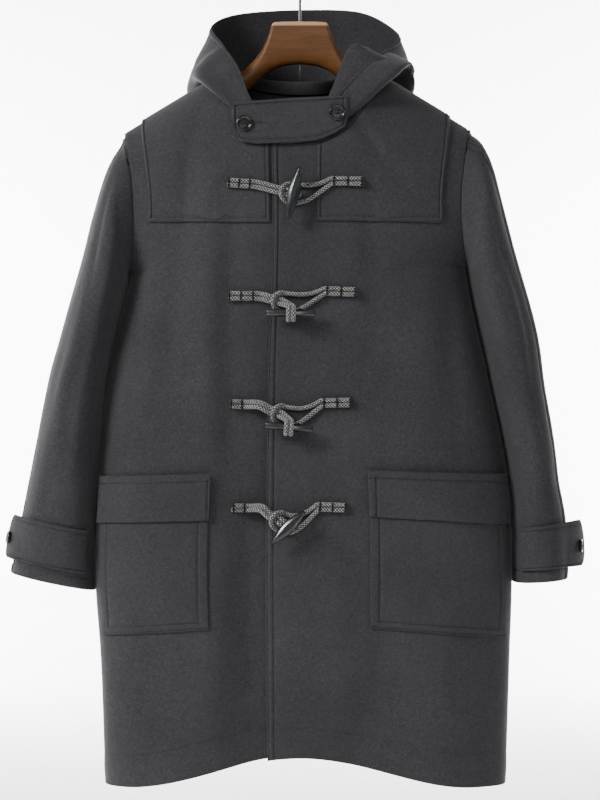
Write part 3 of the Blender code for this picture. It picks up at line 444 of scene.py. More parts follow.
def cloth(name, points, away, a, b, lines, finish, lift=0.0, butted=None):
    """A middle surface ± half the thickness, which narrows in a half circle at every edge not butted."""
    normal = face_normals(points, away)
    reach = edge_distance(points)
    width, length = reach["left"][:, -1].mean(), reach["top"][-1].mean()
    rim = np.minimum.reduce([distance for edge, distance in reach.items() if edge != butted])
    half = CLOTH / 2 * np.sqrt(np.clip(1 - (1 - np.clip(rim / (CLOTH * 0.55), 0, 1)) ** 2, 0.05, 1))
    lift = np.broadcast_to(lift, rim.shape)[..., None]
    middle = points + normal * (lift + CLOTH / 2)
    relief = stitch_relief(a, b, width, length, lines) * ease(rim / 0.002)
    outer = middle + normal * (half + relief)[..., None]
    inner = middle - normal * half[..., None]
    rows, columns = rim.shape
    made = make_object(name, np.concatenate([inner.reshape(-1, 3), outer.reshape(-1, 3)]),
                       shell_faces(rows, columns), finish)
    flat_uv = np.stack(np.broadcast_arrays(a[None, :] * width, b[:, None] * length), axis=-1).reshape(-1, 2)
    set_uv(made, np.concatenate([flat_uv, flat_uv]))
    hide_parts(name)
    PIECES[name] = {"outer": outer, "normal": normal, "a": a, "b": b, "width": width, "length": length,
                    "lines": lines}


print(f"one layer of cloth: {CLOTH * 1000} mm")

# %% [markdown]
# ## Milled wool
#
# Milling felts the threads together until the weave is gone. What is left is a short nap of grey fibres
# that are not all the same grey, and a soft light along every edge that turns away, because the fibre ends
# catch it. Noise on object coordinates mixes the greys at three sizes, the same noise lifts the nap as
# bump, and the shader's sheen gives the edge light. An image would tile and could not follow the coat's
# folds so simply.

# %% Helpers for materials
def nodes_of(name, color, roughness, **sockets):
    """A material with its shader's sockets set, returned with its tree, its shader and a node maker."""
    made = bpy.data.materials.new(name)
    made.use_nodes = True
    made.diffuse_color = (*color, 1)
    tree = made.node_tree
    shader = tree.nodes["Principled BSDF"]
    shader.inputs["Base Color"].default_value = (*color, 1)
    shader.inputs["Roughness"].default_value = roughness
    for socket, value in sockets.items():
        shader.inputs[socket.replace("_", " ")].default_value = value

    def node(kind, links=(), **settings):
        """Adds a node: `links` join outputs to its inputs, `settings` are its properties or inputs."""
        new = tree.nodes.new(kind)
        for key, value in settings.items():
            if hasattr(new, key):
                setattr(new, key, value)
            else:
                new.inputs[key.replace("_", " ")].default_value = value
        for output, socket in links:
            tree.links.new(output, new.inputs[socket])
        return new

    return made, tree, shader, node


def ramp(node, source, *stops):
    """A colour ramp over a value, from (position, colour) stops."""
    made = node("ShaderNodeValToRGB", [(source, "Fac")])
    elements = made.color_ramp.elements
    while len(elements) < len(stops):
        elements.new(0.5)
    for element, (position, color) in zip(elements, stops):
        element.position = position
        element.color = (*color, 1) if len(color) == 3 else color
    return made.outputs["Color"]


def multiply(node, one, two, share=1.0):
    """One colour times another, mixed in by a share. Inputs 6 and 7 of a Mix node are its colours."""
    made = node("ShaderNodeMix", [(one, 6), (two, 7)], data_type="RGBA", blend_type="MULTIPLY")
    made.inputs[0].default_value = share
    return made.outputs[2]


def grey(value):
    """A neutral grey, very slightly blue as the coat's cloth is."""
    return (value * 0.985, value * 0.975, value * 1.07)


print("the cloth's grey at a tenth:", grey(0.1))

# %% The wool
WOOL_NOISE = (  # scale, detail, roughness, distortion of the fibres, the speckle and the broad patches
    (520.0, 5.0, 0.72, 1.4),
    (190.0, 3.0, 0.6, 0.0),
    (9.0, 3.0, 0.5, 0.0),
)


def make_wool(name, tone, nap=1.0):
    """Wool: fibre noise x speckle x broad patches for colour, and two sizes of nap for bump."""
    made, tree, shader, node = nodes_of(
        name, grey(tone), 0.92, Sheen_Weight=0.13, Sheen_Roughness=0.38, Sheen_Tint=(0.55, 0.56, 0.58, 1),
        Specular_IOR_Level=0.18,
    )
    place = node("ShaderNodeTexCoord").outputs["Object"]
    fibre, speckle, broad = (
        node("ShaderNodeTexNoise", [(place, "Vector")], Scale=scale, Detail=detail, Roughness=rough,
             Distortion=bent).outputs["Fac"]
        for scale, detail, rough, bent in WOOL_NOISE
    )
    fine = ramp(node, fibre, (0.30, grey(tone * 0.52)), (0.52, grey(tone)), (0.74, grey(tone * 1.9)))
    uneven = ((0.30, (0.88,) * 3), (0.70, (1.12,) * 3))
    blotched = multiply(node, fine, ramp(node, speckle, *uneven))
    whole = multiply(node, blotched, ramp(node, broad, *uneven))
    tree.links.new(whole, shader.inputs["Base Color"])
    coarse = node("ShaderNodeBump", [(speckle, "Height")], Strength=0.38 * nap, Distance=0.0012)
    top = node("ShaderNodeBump", [(fibre, "Height"), (coarse.outputs["Normal"], "Normal")],
               Strength=0.42 * nap, Distance=0.0006)
    tree.links.new(top.outputs["Normal"], shader.inputs["Normal"])
    return made


wool = make_wool("wool", 0.0265)
thread_wool = make_wool("wool_thread", 0.019, 0.4)
print("materials:", wool.name, thread_wool.name)

# %% [markdown]
# ## Fronts and back
#
# Three panels make the body. They could be cut out of one tube, but the fronts of a real coat overlap, so
# each panel is a grid of its own on the body's surface. The grid runs down from the panel's upper edge:
# first along the quarter circle of the shoulder, in steps that are even on the curve, then straight to the
# hem. The viewer's right front laps over the left one, so its surface is lifted by one thickness near the
# opening.
#
# A line of stitches is written as the edge that it follows, its distance from that edge, and how far it
# starts and stops short of the two ends.

# %% Rows down a panel
ROLL_WAY = 0.28  # way down a panel on which its grid follows the shoulder


def fall_of(way):
    """Drop below the upper edge after a way down: 1 - cos over the shoulder's curve, then straight."""
    turn = np.clip(way / ROLL_WAY, 0, 1) * math.pi
    return SHOULDER_ROLL * (1 - np.cos(turn)) + np.clip(way - ROLL_WAY, 0, None)


def panel_grid(first, last, face, b, a):
    """Places round the body and heights for a panel between two places, upper edge to hem."""
    u = first + (last - first) * a
    top, hem = top_height(u, face), hem_height(u, face)
    length = top - hem - 2 * SHOULDER_ROLL + ROLL_WAY
    way = b[:, None] * length[None, :]
    return np.broadcast_to(u, way.shape), top - fall_of(way)


def neck_marks(first, last, width):
    """Distances along the panel at which the neck turns into the shoulder seam, where the grid is closer."""
    marks = []
    for side in (-1, 1):
        share = (side * around(NECK_HALF / half_width(side, BODY_ROWS[-1][0])) - first) / (last - first)
        if 0.02 < share < 0.98:
            marks += [share * width - side * d for d in (0.002, 0.006, 0.012, 0.019)]
    return [m for m in marks if 0 < m < width]


print("drop after 100 mm of a panel:", round(float(fall_of(0.100)), 4), "m")

# %% Make the panels
PANEL_LENGTH, SEAM_STITCH, HEM_STITCH, SLEEVE_STITCH_END = 1.06, 0.0075, 0.040, 0.800
HEM_LINE = ("bottom", HEM_STITCH, 0.0, 0.0)
PANELS = {  # name: face, first and last place round the body, width, stitch lines, grid step
    "front_left": (FRONT, -1.0, around(UNDER_EDGE), 0.345,
                   [("left", SEAM_STITCH, 0.0, SLEEVE_STITCH_END), HEM_LINE], 0.0050),
    "front_right": (FRONT, around(OPENING_EDGE), 1.0, 0.375,
                    [("left", 0.0100, 0.0, 0.0), ("left", 0.0021, 0.0, 0.0),
                     ("right", SEAM_STITCH, 0.0, SLEEVE_STITCH_END), HEM_LINE,
                     ("top", 0.0130, 0.0100, 0.3110)], 0.0050),
    "back": (BACK, -1.0, 1.0, 0.610, [HEM_LINE], 0.0066),
}
for name, (face, first, last, width, lines, step) in PANELS.items():
    a = spaced(width, step, crossings(lines, width, "left", "right") + neck_marks(first, last, width))
    b = spaced(PANEL_LENGTH, 1.04 * step, crossings(lines, PANEL_LENGTH, "top", "bottom"))
    u, z = panel_grid(first, last, face, b, a)
    away = np.stack([0.4 * np.sign(u) * np.abs(u) ** 8, face + 0 * u, 0.3 + 0 * u], axis=-1)
    lift = front_lift(u) if name == "front_right" else 0.0
    cloth(name, body_point(u, z, face, under=name == "front_left"), away, a, b, lines, wool, lift)

# %% [markdown]
# ## Yokes, pockets and flaps
#
# These are a second layer of the same cloth, laid on the panels and sewn down near their edges. Shrinkwrap
# could press a flat piece onto a panel, but it would slide where the panel curves. Each piece is a smaller
# grid on the very same body surface instead, lifted by the layers beneath it, so it follows every crease of
# the panel under it. A pocket swells a little in its middle, as one that has been used does.

# %% Sizes of the laid pieces
PATCH_COLUMNS = ("layers", "inner", "outer", "top_in", "top_out", "low_in", "low_out")
PATCHES = {
    "yoke_front_left": (1, -0.178, -0.905, None, None, -0.3712, -0.3690),
    "yoke_front_right": (1, 0.105, 0.885, None, None, -0.3690, -0.3700),
    "pocket_left": (1, -0.447, -0.965, -0.7680, -0.7700, -0.9250, -0.9350),
    "pocket_right": (1, 0.327, 0.965, -0.7620, -0.7700, -0.9225, -0.9385),
    "pocket_flap_left": (2.3, -0.443, -0.972, -0.7122, -0.7167, -0.7760, -0.7810),
    "pocket_flap_right": (2.3, 0.322, 0.972, -0.7072, -0.7145, -0.7704, -0.7828),
}
YOKE_NECK_SETBACK, YOKE_BACK_LOW, YOKE_BACK_SHARE = 0.0070, -0.368, 0.90
print("laid pieces in the table:", len(PATCHES))

# %% Rows of a laid piece
def yoke_top(u, face):
    """A yoke's upper edge: the panel's own one, set back a little where it is the neck edge."""
    return top_height(u, face) - YOKE_NECK_SETBACK * (1 - ease((shoulder_x(u) - NECK_HALF) / 0.006))


def yoke_rows(top, low, b):
    """Heights from the upper to the lower edge, spread along the shoulder's curve as on the panels."""
    way_to = np.linspace(0, ROLL_WAY + 0.2, 400)
    end = np.interp(top - low, fall_of(way_to), way_to)
    return top - fall_of(b[:, None] * end[None, :])


def patch_grid(name, a, b):
    """Places and heights of a laid piece: straight edges between its two ends, or the panel's upper edge."""
    row = dict(zip(PATCH_COLUMNS, PATCHES[name]))
    first, last = sorted((around(row["inner"]), around(row["outer"])))
    u = first + (last - first) * a
    share = (u - around(row["inner"])) / (around(row["outer"]) - around(row["inner"]))
    low = row["low_in"] + (row["low_out"] - row["low_in"]) * share
    if row["top_in"] is None:
        z = yoke_rows(yoke_top(u, FRONT), low, b)
    else:
        top = row["top_in"] + (row["top_out"] - row["top_in"]) * share
        z = top + (low - top) * b[:, None]
    lift = row["layers"] * (LAYER + LAID_CLEAR) + (front_lift(u) if row["inner"] > 0 else 0 * u)
    return np.broadcast_to(u, z.shape), z, np.broadcast_to(lift, z.shape)


print("yoke's setback at the neck:", YOKE_NECK_SETBACK, "m")

# %% Make the laid pieces
LAID_STEP, BELLY = 0.0042, 0.0016
YOKE_STITCH, POCKET_STITCH, FLAP_STITCH = 0.0065, 0.0130, 0.0110
YOKE_LINES = [("left", YOKE_STITCH, 0.0, YOKE_STITCH), ("right", YOKE_STITCH, 0.0, YOKE_STITCH),
              ("bottom", YOKE_STITCH, YOKE_STITCH, YOKE_STITCH)]
POCKET_LINES = [("left", POCKET_STITCH, 0.0, POCKET_STITCH), ("right", POCKET_STITCH, 0.0, POCKET_STITCH),
                ("bottom", 0.0105, POCKET_STITCH, POCKET_STITCH), ("bottom", 0.0022, 0.0, 0.0)]
FLAP_LINE = ("top", FLAP_STITCH, 0.0, 0.0)
LAID = {  # name: width, length, stitch lines
    "yoke_front_left": (0.180, 0.235, YOKE_LINES),
    "yoke_front_right": (0.180, 0.235, YOKE_LINES),
    "pocket_left": (0.163, 0.162, POCKET_LINES),
    "pocket_right": (0.205, 0.164, POCKET_LINES),
    "pocket_flap_left": (0.166, 0.064, [FLAP_LINE, ("right", 0.0030, FLAP_STITCH, 0.0)]),
    "pocket_flap_right": (0.208, 0.066, [FLAP_LINE, ("left", FLAP_STITCH, FLAP_STITCH, 0.0)]),
}
for name, (width, length, lines) in LAID.items():
    a = spaced(width, LAID_STEP, crossings(lines, width, "left", "right"))
    b = spaced(length, LAID_STEP, crossings(lines, length, "top", "bottom"))
    u, z, lift = patch_grid(name, a, b)
    if "pocket" in name:
        belly = np.sin(math.pi * np.clip(a, 0, 1))[None, :] * np.sin(math.pi * np.clip(b, 0, 1))[:, None]
        lift = lift + BELLY * belly
    cloth(name, body_point(u, z, FRONT), np.array([0, FRONT, 0.3]), a, b, lines, wool, lift)

# %% Make the back yoke
width, length = 0.52, 0.245
a = spaced(width, 0.0050, crossings(YOKE_LINES, width, "left", "right"))
b = spaced(length, 0.0045, crossings(YOKE_LINES, length, "top", "bottom"))
u = around(YOKE_BACK_SHARE) * (2 * a - 1)
z = yoke_rows(yoke_top(u, BACK), YOKE_BACK_LOW + 0 * u, b)
u = np.broadcast_to(u, z.shape)
cloth("yoke_back", body_point(u, z, BACK), np.array([0, BACK, 0.3]), a, b, YOKE_LINES, wool,
      LAYER + LAID_CLEAR)

# %% [markdown]
# ## Sleeves
#
# A sleeve is a row of ovals from the armhole to the cuff, cut in two by the seams along the top and the
# bottom of the arm. A bent cylinder would stay equally round. An empty sleeve is full at the armhole and
# flat at the cuff, so a table gives each oval its own outer line, inner line and depth. Hanging empty, it
# folds softly where the elbow would be and pulls in diagonals from the armhole. Those creases are bell
# curves again, on the turn round the sleeve and the way along it.

# %% Sleeve sizes
SLEEVE_COLUMNS = ("out_x", "out_z", "in_z", "depth")
SLEEVE_ROWS = {
    "left": np.array([
        (0.2412, -0.2414, -0.4385, 0.062),  # armhole
        (0.2475, -0.2551, -0.4445, 0.067),
        (0.2575, -0.2768, -0.4500, 0.074),
        (0.2700, -0.3080, -0.4590, 0.080),
        (0.2860, -0.3640, -0.4700, 0.083),
        (0.2990, -0.4168, -0.4870, 0.083),
        (0.3150, -0.4726, -0.5270, 0.082),
        (0.3306, -0.5284, -0.5720, 0.080),
        (0.3459, -0.5841, -0.6190, 0.076),
        (0.3626, -0.6678, -0.6950, 0.070),
        (0.3738, -0.7235, -0.7480, 0.063),
        (0.3850, -0.7793, -0.8010, 0.056),
        (0.3947, -0.8281, -0.8500, 0.049),
        (0.4000, -0.8518, -0.8762, 0.045),  # cuff
    ]),
    "right": np.array([
        (0.2317, -0.2356, -0.4328, 0.062),  # armhole
        (0.2400, -0.2440, -0.4390, 0.067),
        (0.2505, -0.2560, -0.4445, 0.074),
        (0.2640, -0.2850, -0.4540, 0.080),
        (0.2800, -0.3450, -0.4650, 0.083),
        (0.2985, -0.4168, -0.4830, 0.083),
        (0.3152, -0.4726, -0.5230, 0.082),
        (0.3290, -0.5284, -0.5680, 0.081),
        (0.3360, -0.5841, -0.6130, 0.079),
        (0.3500, -0.6678, -0.6860, 0.077),
        (0.3570, -0.7235, -0.7370, 0.074),
        (0.3668, -0.7793, -0.7890, 0.070),
        (0.3696, -0.8281, -0.8360, 0.066),
        (0.3696, -0.8587, -0.8643, 0.064),  # cuff
    ]),
}
SLEEVE_CLEAR, ARMHOLE_SEAM = 0.0005, 0.0036
OVERARM_SEAM = {"left": 0.20, "right": 0.60}
UNDERARM_SEAM = {"left": 0.45, "right": 0.30}
print("sleeve tables:", {side: rows.shape for side, rows in SLEEVE_ROWS.items()})

# %% Sleeve surface
def oval(turn, power):
    """A point on an oval of half sizes 1: cos and sin to the power 2/power, squarer as power grows."""
    across, along = np.cos(turn), np.sin(turn)
    return np.sign(across) * np.abs(across) ** (2 / power), np.sign(along) * np.abs(along) ** (2 / power)


def sleeve_point(side, turn, way):
    """Each ring is an oval between the outer and the inner line; the first one is the armhole's own edge."""
    rows = SLEEVE_ROWS[side]
    sign = -1.0 if side == "left" else 1.0
    places = np.linspace(0, 1, len(rows))
    out_x, out_z, in_z, depth = (smooth_curve(way, places, rows[:, k]) for k in range(4))
    start = 1 - ease(way * 6)
    in_x = half_width(sign, in_z) + (2 * CLOTH + SLEEVE_CLEAR) * (1 - start) + (CLOTH + ARMHOLE_SEAM) * start
    across, along = oval(turn, 2.0 + 0.35 * ease(way * 4))
    x = (out_x + in_x) / 2 + (out_x - in_x) / 2 * across
    z = (out_z + in_z) / 2 + (out_z - in_z) / 2 * across
    edge = half_width(sign, z) + ARMHOLE_SEAM + CLOTH * np.clip(-across, 0, 1) ** 4
    x = x + (edge - x) * start
    return np.stack([sign * x, -depth * along, z], axis=-1)

# %% Creases of a sleeve
SLEEVE_CREASES = np.array([  # side, turn, way, how far the turn leans along the way, width, span, depth
    (-1, 1.15, 0.30, 1.6, 0.20, 0.17, -0.0036),
    (-1, 1.80, 0.36, 1.2, 0.20, 0.16, 0.0026),
    (-1, 0.95, 0.55, -0.8, 0.24, 0.14, -0.0026),
    (-1, 1.60, 0.62, -0.9, 0.22, 0.12, -0.0030),
    (-1, 1.25, 0.76, 0.6, 0.20, 0.10, -0.0020),
    (1, 1.30, 0.30, -1.4, 0.20, 0.17, -0.0036),
    (1, 1.85, 0.40, -1.0, 0.22, 0.16, 0.0024),
    (1, 1.15, 0.56, 0.9, 0.22, 0.14, -0.0030),
    (1, 1.75, 0.66, 0.8, 0.22, 0.12, -0.0026),
    (-1, -1.20, 0.42, 1.0, 0.26, 0.20, -0.0036),
    (-1, -1.80, 0.58, -0.8, 0.24, 0.16, 0.0026),
    (1, -1.25, 0.44, -1.0, 0.26, 0.20, -0.0034),
    (1, -1.90, 0.62, 0.7, 0.24, 0.16, -0.0028),
])


def sleeve_creases(side, turn, way):
    """Sum of depth · exp(-(turn off the leaning line / width)²) · exp(-(way off / span)²)."""
    sign = -1 if side == "left" else 1
    lift = np.zeros(np.broadcast(turn, way).shape)
    for _, at, middle, lean, width, span, depth in SLEEVE_CREASES[SLEEVE_CREASES[:, 0] == sign]:
        off = turn - at - lean * (way - middle)
        lift = lift + depth * np.exp(-((off / width) ** 2)) * np.exp(-(((way - middle) / span) ** 2))
    return lift * ease(way / 0.15) * ease((1.02 - way) / 0.15)


def sleeve_middle(side, turn, way):
    """The middle of the ring that a point lies on, from which outwards is told."""
    return (sleeve_point(side, 0 * turn, way) + sleeve_point(side, 0 * turn + math.pi, way)) / 2


def creased_sleeve(side, turn, way):
    """The sleeve's surface moved out along its normals by the creases and the cloth's own unevenness."""
    points = sleeve_point(side, turn, way)
    normal = face_normals(points, points - sleeve_middle(side, turn, way))
    over, under = np.sin(turn - OVERARM_SEAM[side]), np.sin(turn - math.pi + UNDERARM_SEAM[side])
    calm = ease(np.minimum(np.abs(over), np.abs(under)) / 0.25)
    lift = sleeve_creases(side, turn, way) * calm + soft_waves(points[..., 2], 1.7 * turn * 0.06, 5) * calm
    return points + normal * lift[..., None]


print("sleeve creases:", len(SLEEVE_CREASES))

# %% Make the sleeves
SLEEVE_WIDTH, SLEEVE_LENGTH = 0.20, 0.62
SEAM_TURN, SEAM_WAY = 0.0012, 0.0005  # what each half is short of its seams, as a turn and as a share
for side in ("left", "right"):
    over, under = OVERARM_SEAM[side], math.pi - UNDERARM_SEAM[side]
    halves = {
        "front": ("left", over + SEAM_TURN, under - SEAM_TURN),
        "back": ("right", under + SEAM_TURN - 2 * math.pi, over - SEAM_TURN),
    }
    for half, (seam, start, end) in halves.items():
        lines = [(seam, SEAM_STITCH, 0.0, 0.0), ("bottom", 0.028, 0.0, 0.0), ("top", 0.0042, 0.0, 0.0)]
        a = spaced(SLEEVE_WIDTH, 0.0048, crossings(lines, SLEEVE_WIDTH, "left", "right"))
        b = spaced(SLEEVE_LENGTH, 0.0052, crossings(lines, SLEEVE_LENGTH, "top", "bottom"))
        b = b + SEAM_WAY * (1 - 2 * b)
        turn, way = np.meshgrid(start + (end - start) * a, b)
        points = creased_sleeve(side, turn, way)
        outward = points - sleeve_middle(side, turn, way)
        cloth(f"sleeve_{half}_{side}", points, outward, a, b, lines, wool)

# %% [markdown]
# ## Hood
#
# The hood has fallen back. Its cloth rises inside the neck edge, turns over it, runs out and down the back,
# and comes up again to the rim: a pouch of two plies. Simulated cloth would fall another way after each
# change of size. Here the hood is lofted over sections that fan round the neck, each a smooth curve through
# eight control points, which keeps the folded edge soft and the pouch truly open. On the viewer's right the
# cloth stands up in a fold of its own before it turns over, and a second table adds that fold to the same
# sections. Two halves meet in a seam at the middle of the back, where their edges are butted.

# %% Hood sizes
HOOD_COLUMNS = ("at", "in_out", "in_down", "out_out", "out_down", "swell", "rim_x", "rim_y", "rim_z")
HOOD_ROWS = np.array([
    (-1.00, 0.003, -0.008, 0.006, -0.010, 0.000, -0.0300, -0.0850, -0.2475),
    (-0.85, 0.022, -0.020, 0.027, -0.024, 0.002, -0.0650, -0.0855, -0.2046),
    (-0.70, 0.030, -0.018, 0.036, -0.026, 0.005, -0.0822, -0.0550, -0.1597),
    (-0.50, 0.042, 0.010, 0.050, 0.003, 0.007, -0.1060, -0.0080, -0.1186),
    (-0.30, 0.060, 0.050, 0.082, 0.036, 0.008, -0.1229, 0.0450, -0.0821),
    (-0.15, 0.046, 0.150, 0.082, 0.138, 0.010, -0.0880, 0.0840, -0.0605),
    (0.00, 0.036, 0.185, 0.074, 0.172, 0.012, 0.0000, 0.1000, -0.0518),
    (0.15, 0.046, 0.150, 0.082, 0.138, 0.010, 0.0880, 0.0860, -0.0580),
    (0.30, 0.060, 0.050, 0.082, 0.036, 0.008, 0.1370, 0.0450, -0.0935),
    (0.50, 0.046, -0.004, 0.056, -0.013, 0.008, 0.1130, -0.0080, -0.1300),
    (0.70, 0.030, -0.033, 0.036, -0.038, 0.004, 0.0785, -0.0555, -0.1625),
    (0.85, 0.016, -0.022, 0.020, -0.026, 0.002, 0.0440, -0.0855, -0.2040),
    (1.00, 0.003, -0.008, 0.006, -0.010, 0.000, 0.0180, -0.0850, -0.2465),
])
HOOD_SEAM_IN, HOOD_STAND = 0.0048, 0.019

HOOD_FOLD_COLUMNS = ("at", "rise", "lean", "back", "forward")
HOOD_FOLD = np.array([
    (-1.00, 0.000, 0.000, 0.000, 0.000),
    (0.10, 0.000, 0.000, 0.000, 0.000),
    (0.30, 0.000, 0.000, 0.000, 0.000),
    (0.50, 0.012, 0.006, 0.012, 0.008),
    (0.60, 0.044, 0.014, 0.012, 0.013),
    (0.70, 0.070, 0.022, 0.012, 0.014),
    (0.85, 0.046, 0.018, 0.012, 0.005),
    (1.00, 0.000, 0.000, 0.000, 0.000),
])
print("hood sections in the table:", len(HOOD_ROWS), "and in its fold:", len(HOOD_FOLD))

# %% The neck edge
def neck_point(at):
    """A point on the neck edge (-1 and 1 the fronts, 0 the middle of the back) and the way out from it."""
    back = np.abs(at) < 0.5
    front_turn = (np.abs(at) - 0.5) * 0.9 * math.pi
    x = NECK_HALF * np.where(back, np.sin(at * math.pi), np.sign(at) * np.cos(front_turn))
    ends = []
    for face in (FRONT, BACK):
        z = neck_height(x, face)
        ends.append(body_point(around(x / half_width(x, z)), z, face, creased=False))
    point = np.where(back[..., None], ends[1], ends[0])
    out = np.stack([point[..., 0], point[..., 1] * np.where(back, 1.2, 0.15), 0 * at], axis=-1)
    return point, unit(out)


print("neck edge at the middle of the back:", neck_point(np.zeros(1))[0].round(3))

# %% Hood sections
def hood_section(at):
    """Control points of each section: inside the neck edge, over it, out, down, and up to the rim."""
    size = dict(zip(HOOD_COLUMNS, smooth_curve(at, HOOD_ROWS[:, 0], HOOD_ROWS).T[:, :, None]))
    fold = dict(zip(HOOD_FOLD_COLUMNS, smooth_curve(at, HOOD_FOLD[:, 0], HOOD_FOLD).T[:, :, None]))
    neck, out = neck_point(at)
    up, backward, inward = np.array([0, 0, 1.0]), np.array([0, 1.0, 0]), unit(neck * [-1.0, -1.0, 0.0])
    climb = size["rim_z"] - neck[..., 2:3]
    stand = np.clip(0.35 * climb, 0.80 * np.minimum(climb, 0.020), HOOD_STAND) + fold["rise"]
    shift = inward * fold["lean"] + backward * fold["back"]
    base = neck + inward * HOOD_SEAM_IN
    bend = np.minimum(size["in_out"] * 0.35, 0.014)
    inner = neck + out * size["in_out"] - up * size["in_down"]
    outer = neck + out * size["out_out"] - up * size["out_down"]
    joined = np.clip(fold["back"] / 0.008, 0, 1)
    inner = inner + backward * fold["back"] * 0.6 + (outer - inner) * joined * [0.9, 0, 0.9]
    rim = np.concatenate([size["rim_x"], size["rim_y"], size["rim_z"]], axis=-1) - backward * fold["forward"]
    return np.stack([
        base,
        base + up * stand * 0.6 + shift,
        neck + out * bend * 0.35 + shift + up * stand,
        neck + out * bend + shift * 0.9 + up * stand * 0.9,
        inner,
        outer - backward * fold["forward"] * 0.2,
        (outer + rim) / 2 + out * size["swell"] - backward * fold["forward"] * 0.3,
        rim,
    ])


print("control points of a section:", len(hood_section(np.array([0.5]))))

# %% Even steps along a curve
def even_steps(points, shares, power):
    """Points at shares of the length of the smooth curve through a few points."""
    points = np.asarray(points, float)
    chord = np.concatenate([[0], np.cumsum(np.linalg.norm(np.diff(points, axis=0), axis=1) ** power)])
    fine = smooth_curve(np.linspace(0, chord[-1], 400), chord, points)
    way = way_along(fine)
    return np.stack([np.interp(shares * way[-1], way, fine[:, axis]) for axis in range(3)], axis=-1)


corner = [(0, 0, 0), (1, 0, 0), (1, 1, 0)]
print("halfway round a corner:", even_steps(corner, np.array([0.5]), 1.0).round(2))

# %% Creases of the hood
HOOD_CREASES = np.array([  # at, way along the section, half width in at, half width in way, depth
    (-0.62, 0.74, 0.055, 0.16, -0.0030),
    (-0.42, 0.80, 0.050, 0.16, 0.0026),
    (-0.27, 0.72, 0.045, 0.14, -0.0028),
    (-0.10, 0.80, 0.050, 0.14, 0.0024),
    (0.12, 0.74, 0.050, 0.16, -0.0028),
    (0.30, 0.80, 0.050, 0.14, 0.0026),
    (0.47, 0.72, 0.050, 0.14, -0.0028),
    (0.66, 0.80, 0.050, 0.14, 0.0020),
])


def hood_lift(at, way):
    """Sum of depth · exp(-(at off / width)² - (way off / width)²), plus the cloth's own waves."""
    lift = soft_waves(0.32 * at, 0.45 * way, 2)
    for place, middle, half_at, half_way, depth in HOOD_CREASES:
        lift = lift + depth * np.exp(-(((at - place) / half_at) ** 2) - ((way - middle) / half_way) ** 2)
    return lift * ease(way / 0.5) * ease((1 - np.abs(at)) / 0.15) * ease(np.abs(at) / 0.05)


print("hood creases:", len(HOOD_CREASES))

# %% Make the hood
HOOD_WIDTH, HOOD_LENGTH, HOOD_STEP = 0.33, 0.46, 0.0040
for side, sign in (("left", -1.0), ("right", 1.0)):
    seam_edge = "left" if side == "right" else "right"
    lines = [("bottom", 0.0100, 0.0, 0.0), ("bottom", 0.0022, 0.0, 0.0), (seam_edge, 0.0070, 0.0, 0.0)]
    a = spaced(HOOD_WIDTH, HOOD_STEP, crossings(lines, HOOD_WIDTH, "left", "right"))
    b = spaced(HOOD_LENGTH, HOOD_STEP, crossings(lines, HOOD_LENGTH, "top", "bottom"))
    at = np.sort(sign * (1 - a if side == "left" else a))
    controls = hood_section(at)
    points = np.stack([even_steps(controls[:, k], b, 0.6) for k in range(len(at))], axis=1)
    seam = at == 0
    points[:, seam, 0] = sign * 0.00002
    normal = unit(np.cross(np.gradient(points, axis=0), np.gradient(points, axis=1)))
    facing = np.sign(np.sum(normal[-1] * (points[-1] - points[-1].mean(axis=0) + [0, 0.05, 0])))
    normal[:, seam, 0] = 0
    lift = hood_lift(at[None, :] + 0 * b[:, None], b[:, None] + 0 * at[None, :])
    cloth(f"hood_{side}", points, normal * facing, a, b, lines, wool, lift - CLOTH / 2,
          butted=seam_edge)

# %% [markdown]
# ## Throat tab and cuff straps
#
# These are small straps of doubled wool. A box with a bevel would be too even. The throat tab is a nearly
# flat strip whose upper and lower edge come from a table, and averaging each edge over a few millimetres
# rounds its corners. A cuff strap is a window on the sleeve's own surface, so it bends with the sleeve. It
# is lifted off it and narrows to a point, and its buttoned end stands away past the sleeve.

# %% Throat tab's outline
THROAT_TAB_ROWS = np.array([  # x, top, bottom
    (-0.0925, -0.2170, -0.2250),
    (-0.0905, -0.2105, -0.2440),
    (-0.0800, -0.2075, -0.2620),
    (-0.0580, -0.2060, -0.2645),
    (-0.0100, -0.2025, -0.2635),
    (0.0250, -0.2010, -0.2600),
    (0.0470, -0.2000, -0.2510),
    (0.0610, -0.1995, -0.2410),
    (0.0650, -0.2010, -0.2300),
])
THROAT_TAB_FRONT, THROAT_TAB_CURVE = -0.0898, 0.25
print("throat tab:", len(THROAT_TAB_ROWS), "places along it")

# %% Throat tab
TAB_STITCH, TAB_END_STITCH, TAB_STEP = 0.0045, 0.0060, 0.0026
TAB_LINES = [
    ("left", TAB_END_STITCH, TAB_STITCH, TAB_STITCH),
    ("right", TAB_END_STITCH, TAB_STITCH, TAB_STITCH),
    ("top", TAB_STITCH, 0.0, 0.0),
    ("bottom", TAB_STITCH, 0.0, 0.0),
]
first, last = THROAT_TAB_ROWS[0, 0], THROAT_TAB_ROWS[-1, 0]
a = spaced(last - first, TAB_STEP, crossings(TAB_LINES, last - first, "left", "right"))
b = spaced(0.060, TAB_STEP, crossings(TAB_LINES, 0.060, "top", "bottom"))
x = first + (last - first) * a
near = x + np.linspace(-0.0022, 0.0022, 9)[:, None]
top, low = (np.interp(near, THROAT_TAB_ROWS[:, 0], THROAT_TAB_ROWS[:, k]).mean(axis=0) for k in (1, 2))
z = top + (low - top) * b[:, None]
x = np.broadcast_to(x, z.shape)
tab = np.stack([x, THROAT_TAB_FRONT + THROAT_TAB_CURVE * x**2, z], axis=-1)
cloth("throat_tab", tab, np.array([0, -1.0, 0]), a, b, TAB_LINES, wool)

